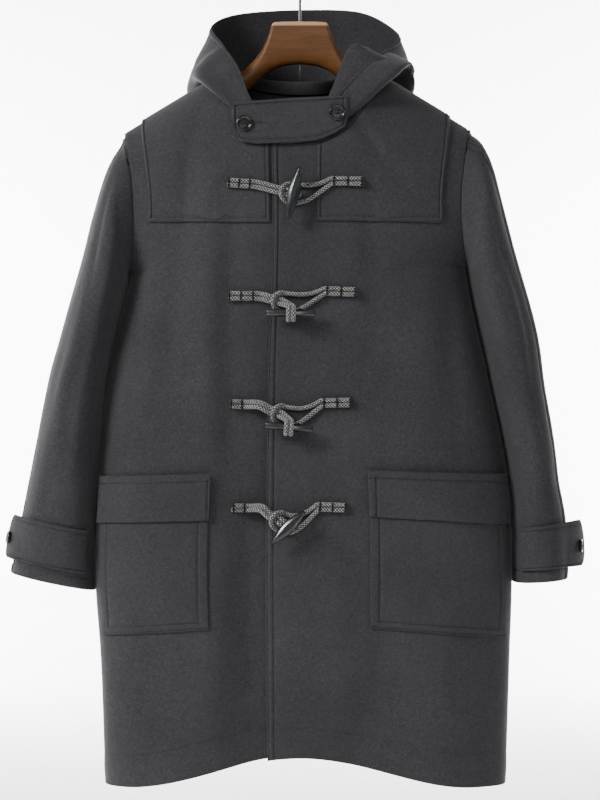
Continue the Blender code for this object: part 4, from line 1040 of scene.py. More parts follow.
# %% Cuff straps
CUFF_TAB_COLUMNS = ("from_turn", "to_turn", "top", "bottom", "flare", "button_turn")
CUFF_TABS = {
    "left": (2.40, 0.10, 0.835, 0.930, 0.009, 0.32),
    "right": (2.30, 0.10, 0.845, 0.950, 0.018, 0.40),
}


def strap_lift(row, turn):
    """The strap lies on the sleeve, and its end eases out past the sleeve's outer line by the row's flare."""
    return LAYER + 9 * LAID_CLEAR + row["flare"] * ease((0.95 - turn) / 0.85)


STRAP_WIDTH, STRAP_LENGTH, STRAP_STEP, POINT_START, POINT_DEPTH = 0.17, 0.060, 0.0030, 0.905, 0.74
STRAP_LINES = [("top", TAB_STITCH, 0.0, 0.005), ("bottom", TAB_STITCH, 0.0, 0.005),
               ("right", 0.0050, TAB_STITCH, TAB_STITCH)]
for side in CUFF_TABS:
    row = dict(zip(CUFF_TAB_COLUMNS, CUFF_TABS[side]))
    a = spaced(STRAP_WIDTH, STRAP_STEP, crossings(STRAP_LINES, STRAP_WIDTH, "left", "right"))
    b = spaced(STRAP_LENGTH, STRAP_STEP, crossings(STRAP_LINES, STRAP_LENGTH, "top", "bottom"))
    turn = row["from_turn"] + (row["to_turn"] - row["from_turn"]) * a
    point = POINT_DEPTH * np.clip((a - POINT_START) / 0.095, 0, 1)
    middle, half = (row["top"] + row["bottom"]) / 2, (row["bottom"] - row["top"]) / 2
    way = middle + half * (2 * b[:, None] - 1) * (1 - point)
    turn = np.broadcast_to(turn, way.shape)
    points = creased_sleeve(side, turn, way)
    cloth(f"cuff_tab_{side}", points, points - sleeve_middle(side, turn, way), a, b, STRAP_LINES, wool,
          strap_lift(row, turn))

# %% [markdown]
# ## Stitches
#
# The seams are topstitched in thread of the cloth's own colour. A dashed texture would lie flat. The
# grooves are in the cloth already, and the thread itself is laid in them as thousands of small spindles,
# one for each stitch. A line of stitches is read from the finished surface of its piece, cut into even
# steps, and all the spindles of one piece are computed as one array.

# %% Many small tubes at once
def tube_faces(rings, sides):
    """Quads round a tube, then each end closed by a fan of quads over an even number of sides."""
    i, k = np.meshgrid(np.arange(rings - 1), np.arange(sides), indexing="ij")
    after = (k + 1) % sides
    wall = np.stack([i * sides + k, i * sides + after, (i + 1) * sides + after, (i + 1) * sides + k], axis=-1)
    step = np.arange(sides // 2 - 1) * 2
    fan = np.stack([0 * step, step + 3, step + 2, step + 1], axis=-1)
    return np.concatenate([wall.reshape(-1, 4), fan, fan[:, ::-1] + (rings - 1) * sides])


def tubes(name, paths, up, radius, sides, finish):
    """Tubes over paths (n, m, 3), joined: each ring is path + radius · (cos, sin) across the path."""
    ahead = unit(np.gradient(paths, axis=1))
    beside = unit(np.cross(ahead, up))
    above = np.cross(beside, ahead)
    turns = np.linspace(0, 2 * math.pi, sides, endpoint=False)
    radius = np.broadcast_to(radius, paths.shape[:2])[..., None, None]
    ring = np.cos(turns)[:, None] * beside[..., None, :] + np.sin(turns)[:, None] * above[..., None, :]
    points = paths[..., None, :] + radius * ring
    count, rings = paths.shape[:2]
    faces = tube_faces(rings, sides)
    faces = (faces[None] + (np.arange(count) * rings * sides)[:, None, None]).reshape(-1, 4)
    made = make_object(name, points.reshape(-1, 3), faces, finish)
    return made


print("faces of a tube of 10 rings of 6 points:", len(tube_faces(10, 6)))

# %% Lines of stitches
def stitch_line(piece, line):
    """The polyline of a stitch line on a piece's outer face, with the normals there."""
    edge, distance, start, stop = line
    outer, normal = piece["outer"], piece["normal"]
    if edge in ("left", "right"):
        share = distance / piece["width"] if edge == "left" else 1 - distance / piece["width"]
        column = int(np.argmin(np.abs(piece["a"] - share)))
        path, facing, span = outer[:, column], normal[:, column], piece["length"]
        along = piece["b"] * span
    else:
        share = distance / piece["length"] if edge == "top" else 1 - distance / piece["length"]
        row = int(np.argmin(np.abs(piece["b"] - share)))
        path, facing, span = outer[row], normal[row], piece["width"]
        along = piece["a"] * span
    keep = (along >= start + 0.0015) & (along <= span - stop - 0.0015)
    return path[keep], facing[keep]


STITCH_PITCH, STITCH_LONG, THREAD = 0.0046, 0.0036, 0.00042


def stitches(piece_name):
    """Spindles along every stitch line of a piece: their ends dip into the cloth."""
    paths, ups = [], []
    for line in PIECES[piece_name]["lines"]:
        path, facing = stitch_line(PIECES[piece_name], line)
        way = way_along(path)
        count = int(way[-1] / STITCH_PITCH)
        starts = (np.arange(count) + 0.5) * way[-1] / count
        places = starts[:, None] + np.array([-0.5, -0.25, 0.25, 0.5]) * STITCH_LONG
        at = np.stack([np.interp(places, way, path[:, axis]) for axis in range(3)], axis=-1)
        out = unit(np.stack([np.interp(places, way, facing[:, axis]) for axis in range(3)], axis=-1))
        paths.append(at + out * np.array([-0.00035, 0.00022, 0.00022, -0.00035])[None, :, None])
        ups.append(out)
    paths, ups = np.concatenate(paths), np.concatenate(ups)
    tubes(f"stitches_{piece_name}", paths, ups, np.array([0.5, 1, 1, 0.5]) * THREAD, 4, thread_wool)
    return len(paths)


print("stitches:", sum(stitches(name) for name in list(PIECES)))

# %% [markdown]
# ## Horn: toggles and buttons
#
# The toggles are polished dark horn, long ovals that thin to blunt ends, with one worn ridge that catches
# the light. The buttons are turned discs with a raised rim, a dished middle and four holes. A disc made as
# a fan has a pinched pole, so the disc here is a square grid bent to a circle, and the holes are deep
# dimples in its height.

# %% Horn
def make_horn():
    """Near-black horn: long streaks of grey-green along the piece's own UV length, under a clear polish."""
    made, tree, shader, node = nodes_of("horn", (0.012, 0.013, 0.015), 0.22, Specular_IOR_Level=0.5)
    uv = node("ShaderNodeTexCoord").outputs["UV"]
    stretched = node("ShaderNodeMapping", [(uv, "Vector")], Scale=(55, 900, 1))
    streak = node("ShaderNodeTexNoise", [(stretched.outputs["Vector"], "Vector")], Scale=1.0, Detail=4.0)
    shade = ramp(node, streak.outputs["Fac"], (0.35, (0.005, 0.006, 0.007)), (0.58, (0.012, 0.014, 0.016)),
                 (0.78, (0.045, 0.051, 0.053)))
    tree.links.new(shade, shader.inputs["Base Color"])
    bump = node("ShaderNodeBump", [(streak.outputs["Fac"], "Height")], Strength=0.12, Distance=0.0005)
    tree.links.new(bump.outputs["Normal"], shader.inputs["Normal"])
    return made


horn = make_horn()
polish = nodes_of("button_polish", (0.0045, 0.0045, 0.005), 0.16, Specular_IOR_Level=0.42)[0]
button_thread = make_wool("button_thread", 0.010, 0.3)
print("materials:", horn.name, polish.name, button_thread.name)

# %% Button sizes
THROAT_BUTTONS = {"left": (-0.0752, -0.2370), "right": (0.0502, -0.2225)}
BUTTON, BUTTON_THICK = {"throat": 0.0108, "cuff": 0.0088}, 0.0036
BUTTON_GRID, HOLE = 57, 0.17  # points along the grid, and each hole's offset as a share of the radius
print("button sizes:", {name: f"{2000 * size:.1f} mm" for name, size in BUTTON.items()})

# %% One button
def button(name, center, facing, radius):
    """Square grid bent to a disc, x = s√(1-t²/2), y = t√(1-s²/2), with a rim, a dish and four dimples."""
    facing = unit(np.asarray(facing, float))
    across = unit(np.cross(facing, [0, 0, 1.0]))
    beside = np.cross(across, facing)
    place = np.sin(np.linspace(-1, 1, BUTTON_GRID) * math.pi / 2)
    s, t = np.meshgrid(place, place)
    x, y = s * np.sqrt(1 - t**2 / 2), t * np.sqrt(1 - s**2 / 2)
    r = np.hypot(x, y)
    height = 0.80 - 0.34 * ease((0.80 - r) / 0.18) + 0.16 * np.exp(-(((r - 0.86) / 0.09) ** 2))
    low = 0.30 * ease((r - 0.80) / 0.20)
    height = height * np.sqrt(np.clip(1 - ((r - 0.80) / 0.21).clip(0, 1) ** 2, 0.02, 1)) + low
    holes = np.stack([(x - i) ** 2 + (y - j) ** 2 for i in (-HOLE, HOLE) for j in (-HOLE, HOLE)])
    height = height - 0.42 * np.exp(-((holes / 0.0085) ** 2)).sum(axis=0)
    flat = center + radius * (x[..., None] * across + y[..., None] * beside)
    face = flat + facing * (BUTTON_THICK * height)[..., None]
    under = flat + facing * (BUTTON_THICK * low)[..., None]
    made = make_object(name + "_disc", np.concatenate([under.reshape(-1, 3), face.reshape(-1, 3)]),
                       shell_faces(*r.shape), polish)
    uv = np.stack([x * radius, y * radius], axis=-1).reshape(-1, 2)
    set_uv(made, np.concatenate([uv, uv]))
    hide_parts(name)
    ends = np.array([[(-HOLE, -HOLE), (HOLE, HOLE)], [(-HOLE, HOLE), (HOLE, -HOLE)]]) * radius
    shares = np.linspace(0, 1, 7)[:, None]
    bars = [start + (end - start) * shares for start, end in ends]
    arch = BUTTON_THICK * (0.16 + 0.46 * np.sin(math.pi * shares[:, 0]) ** 0.5)
    paths = np.stack([center + bar[:, :1] * across + bar[:, 1:] * beside + facing * (arch * rise)[:, None]
                      for bar, rise in zip(bars, (1.0, 1.12))])
    tubes(name + "_thread", paths, np.broadcast_to(facing, paths.shape), 0.00055, 6, button_thread)


print("grid of a button:", BUTTON_GRID, "x", BUTTON_GRID)

# %% Make the buttons
for side, (x, z) in THROAT_BUTTONS.items():
    y = THROAT_TAB_FRONT + THROAT_TAB_CURVE * x**2 - CLOTH - GAP
    button(f"throat_button_{side}", np.array([x, y, z]), (0.5 * x, -1.0, 0), BUTTON["throat"])
for side in CUFF_TABS:
    piece, row = PIECES[f"cuff_tab_{side}"], dict(zip(CUFF_TAB_COLUMNS, CUFF_TABS[side]))
    share = (row["button_turn"] - row["from_turn"]) / (row["to_turn"] - row["from_turn"])
    j, i = int(np.argmin(np.abs(piece["a"] - share))), len(piece["b"]) // 2
    facing = piece["normal"][i, j]
    button(f"cuff_button_{side}", piece["outer"][i, j] + facing * GAP, facing, BUTTON["cuff"])
print("buttons:", len(THROAT_BUTTONS) + len(CUFF_TABS))

# %% The buttonhole beside the left throat button
HOLE_MIDDLE, HOLE_LONG, HOLE_WIDE = (-0.0570, -0.2355), 0.0072, 0.0011
turns = np.linspace(0, 2 * math.pi, 41)
across = HOLE_LONG * np.sign(np.cos(turns)) * np.abs(np.cos(turns)) ** 0.5
hole = np.stack([HOLE_MIDDLE[0] + across, 0 * turns, HOLE_MIDDLE[1] + HOLE_WIDE * np.sin(turns)], axis=-1)
hole[:, 1] = THROAT_TAB_FRONT + THROAT_TAB_CURVE * hole[:, 0] ** 2 - CLOTH - 0.00005
facing = np.broadcast_to([0, -1.0, 0], hole.shape)
tubes("buttonhole", hole[None], facing[None], 0.00062, 6, thread_wool)
print(f"buttonhole: {2 * HOLE_LONG * 1000:.1f} mm long")

# %% [markdown]
# ## Ropes
#
# Each fastening is two doubled ropes of grey marl braid. The left one is sewn down and carries the toggle;
# the right one is sewn down and opens into a loop. A curve with a round bevel would be smooth, but braid is
# not: here a tube is carried along the route, and its radius rises and falls where two sets of helices
# cross, which is how a braid looks.

# %% Rope and toggle sizes
FASTENING_COLUMNS = (
    "far_x", "far_z", "free_x", "free_z", "hook_x", "toggle_x", "toggle_z", "tilt", "wrapped", "length",
    "near_x", "near_z", "end_x", "end_z",
)
FASTENINGS = [
    (-0.0976, -0.3170, -0.0596, -0.3200, -0.0255, -0.0085, -0.3329, 77.0, False, 0.072,
     0.0427, -0.3153, 0.0854, -0.3159),
    (-0.0972, -0.4704, -0.0542, -0.4711, -0.0365, -0.0122, -0.4945, -1.0, True, 0.068,
     0.0335, -0.4643, 0.0764, -0.4657),
    (-0.0951, -0.6174, -0.0549, -0.6188, -0.0365, -0.0150, -0.6485, -5.0, True, 0.066,
     0.0295, -0.6161, 0.0696, -0.6154),
    (-0.0917, -0.7590, -0.0515, -0.7597, -0.0370, -0.0160, -0.7840, 44.0, False, 0.062,
     0.0241, -0.7570, 0.0630, -0.7583),
]
ROPE, STRANDS, LOOP_HALF, LOOP_STRAIGHT, HOOK_RISE = 0.0031, 0.0034, 0.0122, 0.022, 0.0094
TOGGLE_BACK, TOGGLE_WIDE, TOGGLE_THICK = 0.0138, 0.0088, 0.0057
print("fastenings in the table:", len(FASTENINGS))

# %% Levels the ropes lie on
def cloth_level(x, z):
    """The y of the outermost cloth at the front, with the overlap and the yokes counted."""
    u = around(x / half_width(x, z))
    layers = (x > OPENING_EDGE * half_width(x, z)) * front_lift(u)
    yoke = z > YOKE_BACK_LOW
    left_yoke = yoke & (x < PATCHES["yoke_front_left"][1] * half_width(x, z))
    right_yoke = yoke & (x > PATCHES["yoke_front_right"][1] * half_width(x, z))
    return body_point(u, z, FRONT)[..., 1] - CLOTH - layers - LAYER * (left_yoke | right_yoke)


def rope_level(x, z):
    """The cloth's level evened out over 24 mm, so that a rope passes over an edge in a soft step."""
    reach = np.linspace(-0.012, 0.012, 7)
    return cloth_level(np.asarray(x)[..., None] + reach, np.asarray(z)[..., None] + 0 * reach).min(axis=-1)


def toggle_center(row):
    """The toggle's middle: off the cloth by the ropes behind it and half its own thickness."""
    back, thick = (0.6 * TOGGLE_BACK, TOGGLE_WIDE) if row["wrapped"] else (TOGGLE_BACK, TOGGLE_THICK)
    x, z = row["toggle_x"], row["toggle_z"]
    return np.array([x, rope_level(x, z) - back - thick, z])


print("the cloth at the top toggle is at y =", rope_level(-0.0085, -0.3329).round(4))

# %% Route of a left rope
def doubled(center, beside, half):
    """Two strands side by side: out along one side, round the end and back along the other."""
    ahead = unit(center[-1] - center[-2])
    turns = np.linspace(math.pi / 2, -math.pi / 2, 7)[1:-1, None]
    cap = center[-1] + half * (np.cos(turns) * ahead + np.sin(turns) * beside[-1])
    return np.concatenate([center + beside * half, cap, (center - beside * half)[::-1]])


def stem_route(row):
    """The left rope: sewn down, free past the opening, under the loop, then behind or round the toggle."""
    center = toggle_center(row)
    tilt = math.radians(row["tilt"])
    axis = np.array([math.cos(tilt), 0, math.sin(tilt)])
    reach = row["toggle_z"] + (TOGGLE_THICK + 2 * ROPE if row["wrapped"] else 0.0)
    run = row["toggle_x"] - row["free_x"]
    hook_z = row["free_z"] + (reach - row["free_z"]) * (row["hook_x"] - row["free_x"]) / run
    flat = np.array([
        (row["far_x"], row["far_z"]),
        ((row["far_x"] + row["free_x"]) / 2, (row["far_z"] + row["free_z"]) / 2),
        (row["free_x"], row["free_z"]),
        (row["hook_x"] - 0.004, hook_z + 0.001),
        (row["hook_x"] + 0.001, hook_z),
    ])
    flat = np.stack([flat[:, 0], rope_level(flat[:, 0], flat[:, 1]) - ROPE - GAP, flat[:, 1]], axis=-1)
    if row["wrapped"]:
        down, toward = np.array([math.sin(tilt), 0, -math.cos(tilt)]), np.array([0, -1.0, 0])
        turns = np.radians([35, 70, 105, 140, 175, 205])[:, None]
        bow_in, bow_out = TOGGLE_THICK + ROPE + 2 * GAP, TOGGLE_WIDE + ROPE + 2 * GAP
        arc = center - down * bow_in * np.cos(turns) + toward * bow_out * np.sin(turns)
        path = even_steps(np.concatenate([flat, arc]), np.linspace(0, 1, 110), 0.5)
        heading = ease((path[:, :1] - row["hook_x"]) / (row["toggle_x"] - row["hook_x"] - 0.001))
        beside = (1 - heading) * [0, 0, 1.0] + heading * axis
        ahead = unit(np.gradient(path, axis=0))
        beside = unit(beside - ahead * np.sum(beside * ahead, axis=1, keepdims=True))
    else:
        away = unit((center - [row["hook_x"], 0, hook_z]) * [1, 0, 1])
        behind = center + [0, TOGGLE_THICK + ROPE + 2 * GAP, 0]
        leaving = (flat[-1] * 0.5 + behind * 0.5) * [1, 0, 1]
        leaving[1] = rope_level(leaving[0], leaving[2]) - 3.2 * ROPE
        path = even_steps(np.concatenate([flat, [leaving, behind - away * 0.002, behind + away * 0.004]]),
                          np.linspace(0, 1, 90), 0.5)
        upright = np.cross(away, [0, 1.0, 0])
        beside = np.broadcast_to(upright * np.sign(upright[2]), path.shape)
    leave = unit(np.array([row["toggle_x"] - row["hook_x"], reach - hook_z]))
    return doubled(path, beside, STRANDS), hook_z, leave


first_row = dict(zip(FASTENING_COLUMNS, FASTENINGS[0]))
print("the top loop hooks over the left rope at z =", round(float(stem_route(first_row)[1]), 4))

# %% Route of a right rope
def loop_route(row, hook_z, leave):
    """The right rope: sewn down, then a loop along a parabola whose end hooks over the other rope."""
    hook = np.array([row["hook_x"], hook_z]) + leave * LOOP_HALF
    near, end = np.array([row["near_x"], row["near_z"]]), np.array([row["end_x"], row["end_z"]])
    share = np.linspace(0, 1, 40)[1:, None]
    pulled = hook + leave * LOOP_STRAIGHT
    free = (1 - share) ** 2 * near + 2 * share * (1 - share) * pulled + share**2 * hook
    sewn = end + (near - end) * np.linspace(0, 1, 16)[:, None]
    middle = np.concatenate([sewn, free])
    ahead = unit(np.gradient(middle, axis=0))
    beside = np.stack([-ahead[:, 1], ahead[:, 0]], axis=-1)
    beside = beside * np.sign(beside[:, 1:2])
    half = STRANDS + (LOOP_HALF - STRANDS) * np.concatenate([np.zeros(16), ease(share[:, 0] * 1.25)])
    turns = np.radians(np.linspace(80, -80, 17))
    bow = hook + LOOP_HALF * (np.cos(turns)[:, None] * ahead[-1] + np.sin(turns)[:, None] * beside[-1])
    flat = np.concatenate([middle + beside * half[:, None], bow, (middle - beside * half[:, None])[::-1]])
    rise = np.concatenate([0 * half, np.cos(turns) ** 0.7, 0 * half])
    way = way_along(flat)
    spread = np.exp(-(((way[:, None] - way[None, :]) / 0.0035) ** 2))
    rise = (spread @ rise) / spread.sum(axis=1)
    level = rope_level(flat[:, 0], flat[:, 1]) - ROPE - GAP - HOOK_RISE * rise
    return np.stack([flat[:, 0], level, flat[:, 1]], axis=-1)


print(f"two strands side by side: {2 * (STRANDS + ROPE) * 1000:.1f} mm, an open loop: "
      f"{2 * (LOOP_HALF + ROPE) * 1000:.1f} mm")

# %% Braid
def make_braid():
    """Marl: the strand attribute says which helix is on top, and noise flecks both greys."""
    made, tree, shader, node = nodes_of(
        "braid", (0.16, 0.16, 0.155), 0.82, Sheen_Weight=0.25, Sheen_Roughness=0.5, Specular_IOR_Level=0.25,
    )
    strand = node("ShaderNodeAttribute", attribute_name="strand").outputs["Fac"]
    place = node("ShaderNodeTexCoord").outputs["Object"]
    fleck = node("ShaderNodeTexNoise", [(place, "Vector")], Scale=480.0, Detail=2.0, Roughness=0.7)
    added = node("ShaderNodeMath", [(strand, 0), (fleck.outputs["Fac"], 1)], operation="ADD")
    halved = node("ShaderNodeMath", [(added.outputs[0], 0)], operation="MULTIPLY")
    halved.inputs[1].default_value = 0.5
    shade = ramp(node, halved.outputs[0], (0.34, (0.005, 0.005, 0.005)), (0.50, (0.045, 0.045, 0.045)),
                 (0.70, (0.300, 0.300, 0.290)))
    tree.links.new(shade, shader.inputs["Base Color"])
    bump = node("ShaderNodeBump", [(fleck.outputs["Fac"], "Height")], Strength=0.5, Distance=0.0006)
    tree.links.new(bump.outputs["Normal"], shader.inputs["Normal"])
    return made


braid = make_braid()
print("material:", braid.name)

# %% A braided rope
BRAID_STRANDS, BRAID_PITCH, ROPE_SIDES, ROPE_STEP = 4, 0.0085, 24, 0.00085


def carried(path):
    """Directions across a path that never twist: each is the last one less its part along the path."""
    ahead = unit(np.gradient(path, axis=0))
    across = np.empty_like(path)
    last = unit(np.cross(ahead[0], [0.3, 0.5, 0.81]))
    for k, tangent in enumerate(ahead):
        last = unit(last - tangent * np.dot(last, tangent))
        across[k] = last
    return across


def rope(name, route):
    """A tube whose radius is r · (0.93 + 0.10 · max(h1, h2)), h1 and h2 two opposite helices of the braid."""
    length = np.linalg.norm(np.diff(route, axis=0), axis=1).sum()
    steps = int(length / ROPE_STEP)
    path = even_steps(route, np.linspace(0, 1, steps), 1.0)
    across = carried(path)
    way = way_along(path)
    turns = np.linspace(0, 2 * math.pi, ROPE_SIDES, endpoint=False)
    one = np.cos(BRAID_STRANDS * turns[None, :] + 2 * math.pi * way[:, None] / BRAID_PITCH * 2)
    two = np.cos(BRAID_STRANDS * turns[None, :] - 2 * math.pi * way[:, None] / BRAID_PITCH * 2)
    radius = ROPE * (0.93 + 0.10 * np.maximum(one, two))
    end = np.minimum(way, way[-1] - way)[:, None]
    radius = radius * (0.80 + 0.20 * ease(end / 0.0012))
    ahead = unit(np.gradient(path, axis=0))
    beside = np.cross(ahead, across)
    ring = np.cos(turns)[None, :, None] * across[:, None] + np.sin(turns)[None, :, None] * beside[:, None]
    points = (path[:, None] + radius[..., None] * ring).reshape(-1, 3)
    made = make_object(name + "_braid", points, tube_faces(steps, ROPE_SIDES), braid)
    over = (0.5 + 0.5 * np.sign(one - two) * np.abs(one - two) ** 0.5 / 1.42).ravel()
    made.data.attributes.new("strand", "FLOAT", "POINT").data.foreach_set("value", over)
    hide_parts(name)
    print(f"{name}: {length * 1000:.0f} mm of rope")


print(f"rope: {2000 * ROPE:.1f} mm thick")

# %% Toggles
def toggle(number, row):
    """A horn bar of width w(1 - 0.76|p|^1.7) and depth d(1 - 0.25|p|^2.5), with a soft ridge in front."""
    tilt = math.radians(row["tilt"])
    axis = np.array([math.cos(tilt), 0, math.sin(tilt)])
    cross, depthward = np.array([-math.sin(tilt), 0, math.cos(tilt)]), np.array([0, 1.0, 0])
    wide, thick = (depthward, cross) if row["wrapped"] else (cross, depthward)
    place = np.sin(np.linspace(-1, 1, 81) * math.pi / 2)
    turns = np.linspace(0, 2 * math.pi, 48, endpoint=False)
    across, beside = oval(turns, 2.2)
    front = math.pi if row["wrapped"] else -math.pi / 2
    ridge = 0.10 * np.exp(-((np.angle(np.exp(1j * (turns - front - 0.25))) / 0.22) ** 2))
    ends = np.sqrt(np.clip(1 - np.clip((np.abs(place) - 0.93) / 0.07, 0, 1) ** 2, 0.02, 1))
    width = TOGGLE_WIDE * (1 - 0.76 * np.abs(place) ** 1.7) * ends
    depth = TOGGLE_THICK * (1 - 0.25 * np.abs(place) ** 2.5) * ends
    ring = (across * (1 + ridge))[None, :, None] * width[:, None, None] * wide
    ring = ring + (beside * (1 + ridge))[None, :, None] * depth[:, None, None] * thick
    points = toggle_center(row) + place[:, None, None] * row["length"] / 2 * axis + 0.97 * ring
    faces = tube_faces(len(place), len(turns))
    made = make_object(f"toggle_{number}_horn", points.reshape(-1, 3), faces, horn)
    uv = np.stack(np.broadcast_arrays(place[:, None] * row["length"] / 2, turns[None, :] * 0.0015), axis=-1)
    set_uv(made, uv.reshape(-1, 2))
    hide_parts(f"toggle_{number}")


print(f"widest section of a toggle: {2000 * TOGGLE_WIDE:.1f} x {2000 * TOGGLE_THICK:.1f} mm")

# %% Bars of black thread that hold the ropes down
BAR_THREAD, BAR_APART, BAR_CLEAR = 0.00052, 0.0008, 0.00055  # radius, between threads, off the cloth
BAR_SHARES = ((0.035, 0.40, 0.78), (0.08, 0.52, 0.965))  # places along the left and the right rope


def sewn_bars(number, row):
    """Six bars for each fastening, three threads each, that go over both strands like a low double arch."""
    starts = np.array([(row["far_x"], row["far_z"]), (row["near_x"], row["near_z"])])
    ends = np.array([(row["free_x"], row["free_z"]), (row["end_x"], row["end_z"])])
    v = np.linspace(-1, 1, 25) * (STRANDS + ROPE + 0.0010)
    over = np.sqrt(np.clip(ROPE**2 - (np.abs(v) - STRANDS) ** 2, 0, None))
    end_rise = ease((ROPE + STRANDS - np.abs(v)) / 0.0012)
    high = np.where(np.abs(v) < STRANDS, np.maximum(over, 0.72 * ROPE), over) + ROPE * end_rise
    paths = []
    for start, end, shares in zip(starts, ends, BAR_SHARES):
        along = unit(end - start)
        across = np.array([-along[1], along[0]])
        across = across * np.sign(across[1])
        for share in shares:
            for thread in (-1, 0, 1):
                flat = start + (end - start) * share + along * thread * BAR_APART + v[:, None] * across
                risen = 0.0016 * ease((share - 0.5) / 0.3) * (start[0] < 0)
                level = rope_level(flat[:, 0], flat[:, 1]) - GAP - BAR_CLEAR - risen - high
                paths.append(np.stack([flat[:, 0], level, flat[:, 1]], axis=-1))
    paths = np.array(paths)
    facing = np.broadcast_to([0, -1.0, 0.02], paths.shape)
    tubes(f"sewn_bars_{number}", paths, facing, BAR_THREAD, 6, button_thread)


print("bars for each fastening:", sum(len(shares) for shares in BAR_SHARES))

# %% Make the fastenings
for number, values in enumerate(FASTENINGS, 1):
    row = dict(zip(FASTENING_COLUMNS, values))
    stem, hook_z, leave = stem_route(row)
    rope(f"rope_left_{number}", stem)
    rope(f"rope_right_{number}", loop_route(row, hook_z, leave))
    toggle(number, row)
    sewn_bars(number, row)
print("fastenings:", len(FASTENINGS))

# %% [markdown]
# ## Hanger and hook
#
# The hanger is shaped from stained beech. A curve with a bevel keeps one section all along, and this one
# changes, so ovals are skinned from one end to the other, squarer in the middle block where the hook
# stands. The grain runs along it, darker in the pores, and the top face of the block is painted paler, a
# painted highlight where light from above falls. The hook is plated wire: a tube carried along an arc and a
# short shank.

# %% Hanger sizes
HANGER_ROWS = np.array([  # x, top, bottom, half the thickness
    (0.0000, -0.0850, -0.1436, 0.0120),
    (0.0240, -0.0852, -0.1465, 0.0120),
    (0.0370, -0.0862, -0.1515, 0.0120),
    (0.0400, -0.0895, -0.1532, 0.0120),
    (0.0430, -0.1030, -0.1550, 0.0122),
    (0.0530, -0.1240, -0.1630, 0.0128),
    (0.0660, -0.1412, -0.1760, 0.0136),
    (0.0836, -0.1562, -0.1890, 0.0150),
    (0.1200, -0.1738, -0.2090, 0.0160),
    (0.1600, -0.1950, -0.2270, 0.0170),
    (0.2000, -0.2195, -0.2460, 0.0170),
    (0.2130, -0.2285, -0.2480, 0.0150),
    (0.2180, -0.2320, -0.2440, 0.0090),
])
HOOK_WIRE, HOOK_INSIDE = 0.0020, 0.0190
print("hanger:", len(HANGER_ROWS), "places along each half")

# %% Wood
def make_wood():
    """Stained beech: long streaks from stretched noise, fine pores, and a painted highlight on the block's
    top face.
    """
    made, tree, shader, node = nodes_of("wood", (0.08, 0.030, 0.006), 0.45, Specular_IOR_Level=0.20)
    place = node("ShaderNodeTexCoord").outputs["Object"]
    long = node("ShaderNodeMapping", [(place, "Vector")], Scale=(7, 60, 75))
    streak = node("ShaderNodeTexNoise", [(long.outputs["Vector"], "Vector")], Scale=1.6, Detail=6.0,
                  Roughness=0.62, Distortion=0.5)
    short = node("ShaderNodeMapping", [(place, "Vector")], Scale=(90, 900, 1100))
    pore = node("ShaderNodeTexNoise", [(short.outputs["Vector"], "Vector")], Scale=1.0, Detail=3.0)
    stain = ramp(node, streak.outputs["Fac"], (0.30, (0.063, 0.0235, 0.0042)), (0.50, (0.083, 0.031, 0.0057)),
                 (0.72, (0.104, 0.040, 0.0080)))
    pores = ramp(node, pore.outputs["Fac"], (0.34, (0.75,) * 3), (0.48, (1.0,) * 3))
    stained = multiply(node, stain, pores, 0.8)
    # Painted highlight: the block's top face, above z = -0.0925, is mixed towards a pale tan where light from
    # above falls.
    split = node("ShaderNodeSeparateXYZ", [(place, "Vector")])
    top = node("ShaderNodeMapRange", [(split.outputs["Z"], 0)], From_Min=-0.0925, From_Max=-0.0900,
               To_Min=0.0, To_Max=0.80)
    top_highlight = node("ShaderNodeMix", [(top.outputs[0], 0), (stained, 6)], data_type="RGBA")
    top_highlight.inputs[7].default_value = (0.46, 0.27, 0.15, 1)
    tree.links.new(top_highlight.outputs[2], shader.inputs["Base Color"])
    bump = node("ShaderNodeBump", [(pore.outputs["Fac"], "Height")], Strength=0.15, Distance=0.0004)
    tree.links.new(bump.outputs["Normal"], shader.inputs["Normal"])
    return made


beech = make_wood()
print("material:", beech.name)

# %% Hanger
x = np.concatenate([-HANGER_ROWS[:0:-1, 0], HANGER_ROWS[:, 0]])
rows = np.concatenate([HANGER_ROWS[:0:-1], HANGER_ROWS])
fine = np.unique(np.concatenate([np.linspace(-0.218, 0.218, 180), x]))
near = fine[:, None] + np.linspace(-0.0022, 0.0022, 7)
top, low, half = (np.interp(near, x, rows[:, k]).mean(axis=1) for k in (1, 2, 3))
turns = np.linspace(0, 2 * math.pi, 48, endpoint=False)
power = 2.0 + 1.6 * ease((0.060 - np.abs(fine)) / 0.025)
across, along = oval(turns[None, :], power[:, None])
tip = np.sqrt(np.clip(1 - np.clip((np.abs(fine) - 0.2150) / 0.0031, 0, 1) ** 2, 0.03, 1))[:, None]
rings = np.stack([fine[:, None] + 0 * across, across * half[:, None] * tip,
                  (top + low)[:, None] / 2 + along * tip * (top - low)[:, None] / 2], axis=-1)
hanger = make_object("hanger_wood", rings.reshape(-1, 3), tube_faces(len(fine), len(turns)), beech)
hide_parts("hanger")
print("hanger:", len(fine), "ovals")

# %% Hook
def make_steel():
    """Plated wire: bright metal whose roughness varies with fine noise."""
    made, tree, shader, node = nodes_of("steel", (0.09, 0.09, 0.095), 0.22, Metallic=1.0)
    place = node("ShaderNodeTexCoord").outputs["Object"]
    haze = node("ShaderNodeTexNoise", [(place, "Vector")], Scale=260.0, Detail=4.0)
    rough = node("ShaderNodeMapRange", [(haze.outputs["Fac"], 0)], From_Min=0.3, From_Max=0.7,
                 To_Min=0.16, To_Max=0.32)
    tree.links.new(rough.outputs[0], shader.inputs["Roughness"])
    return made


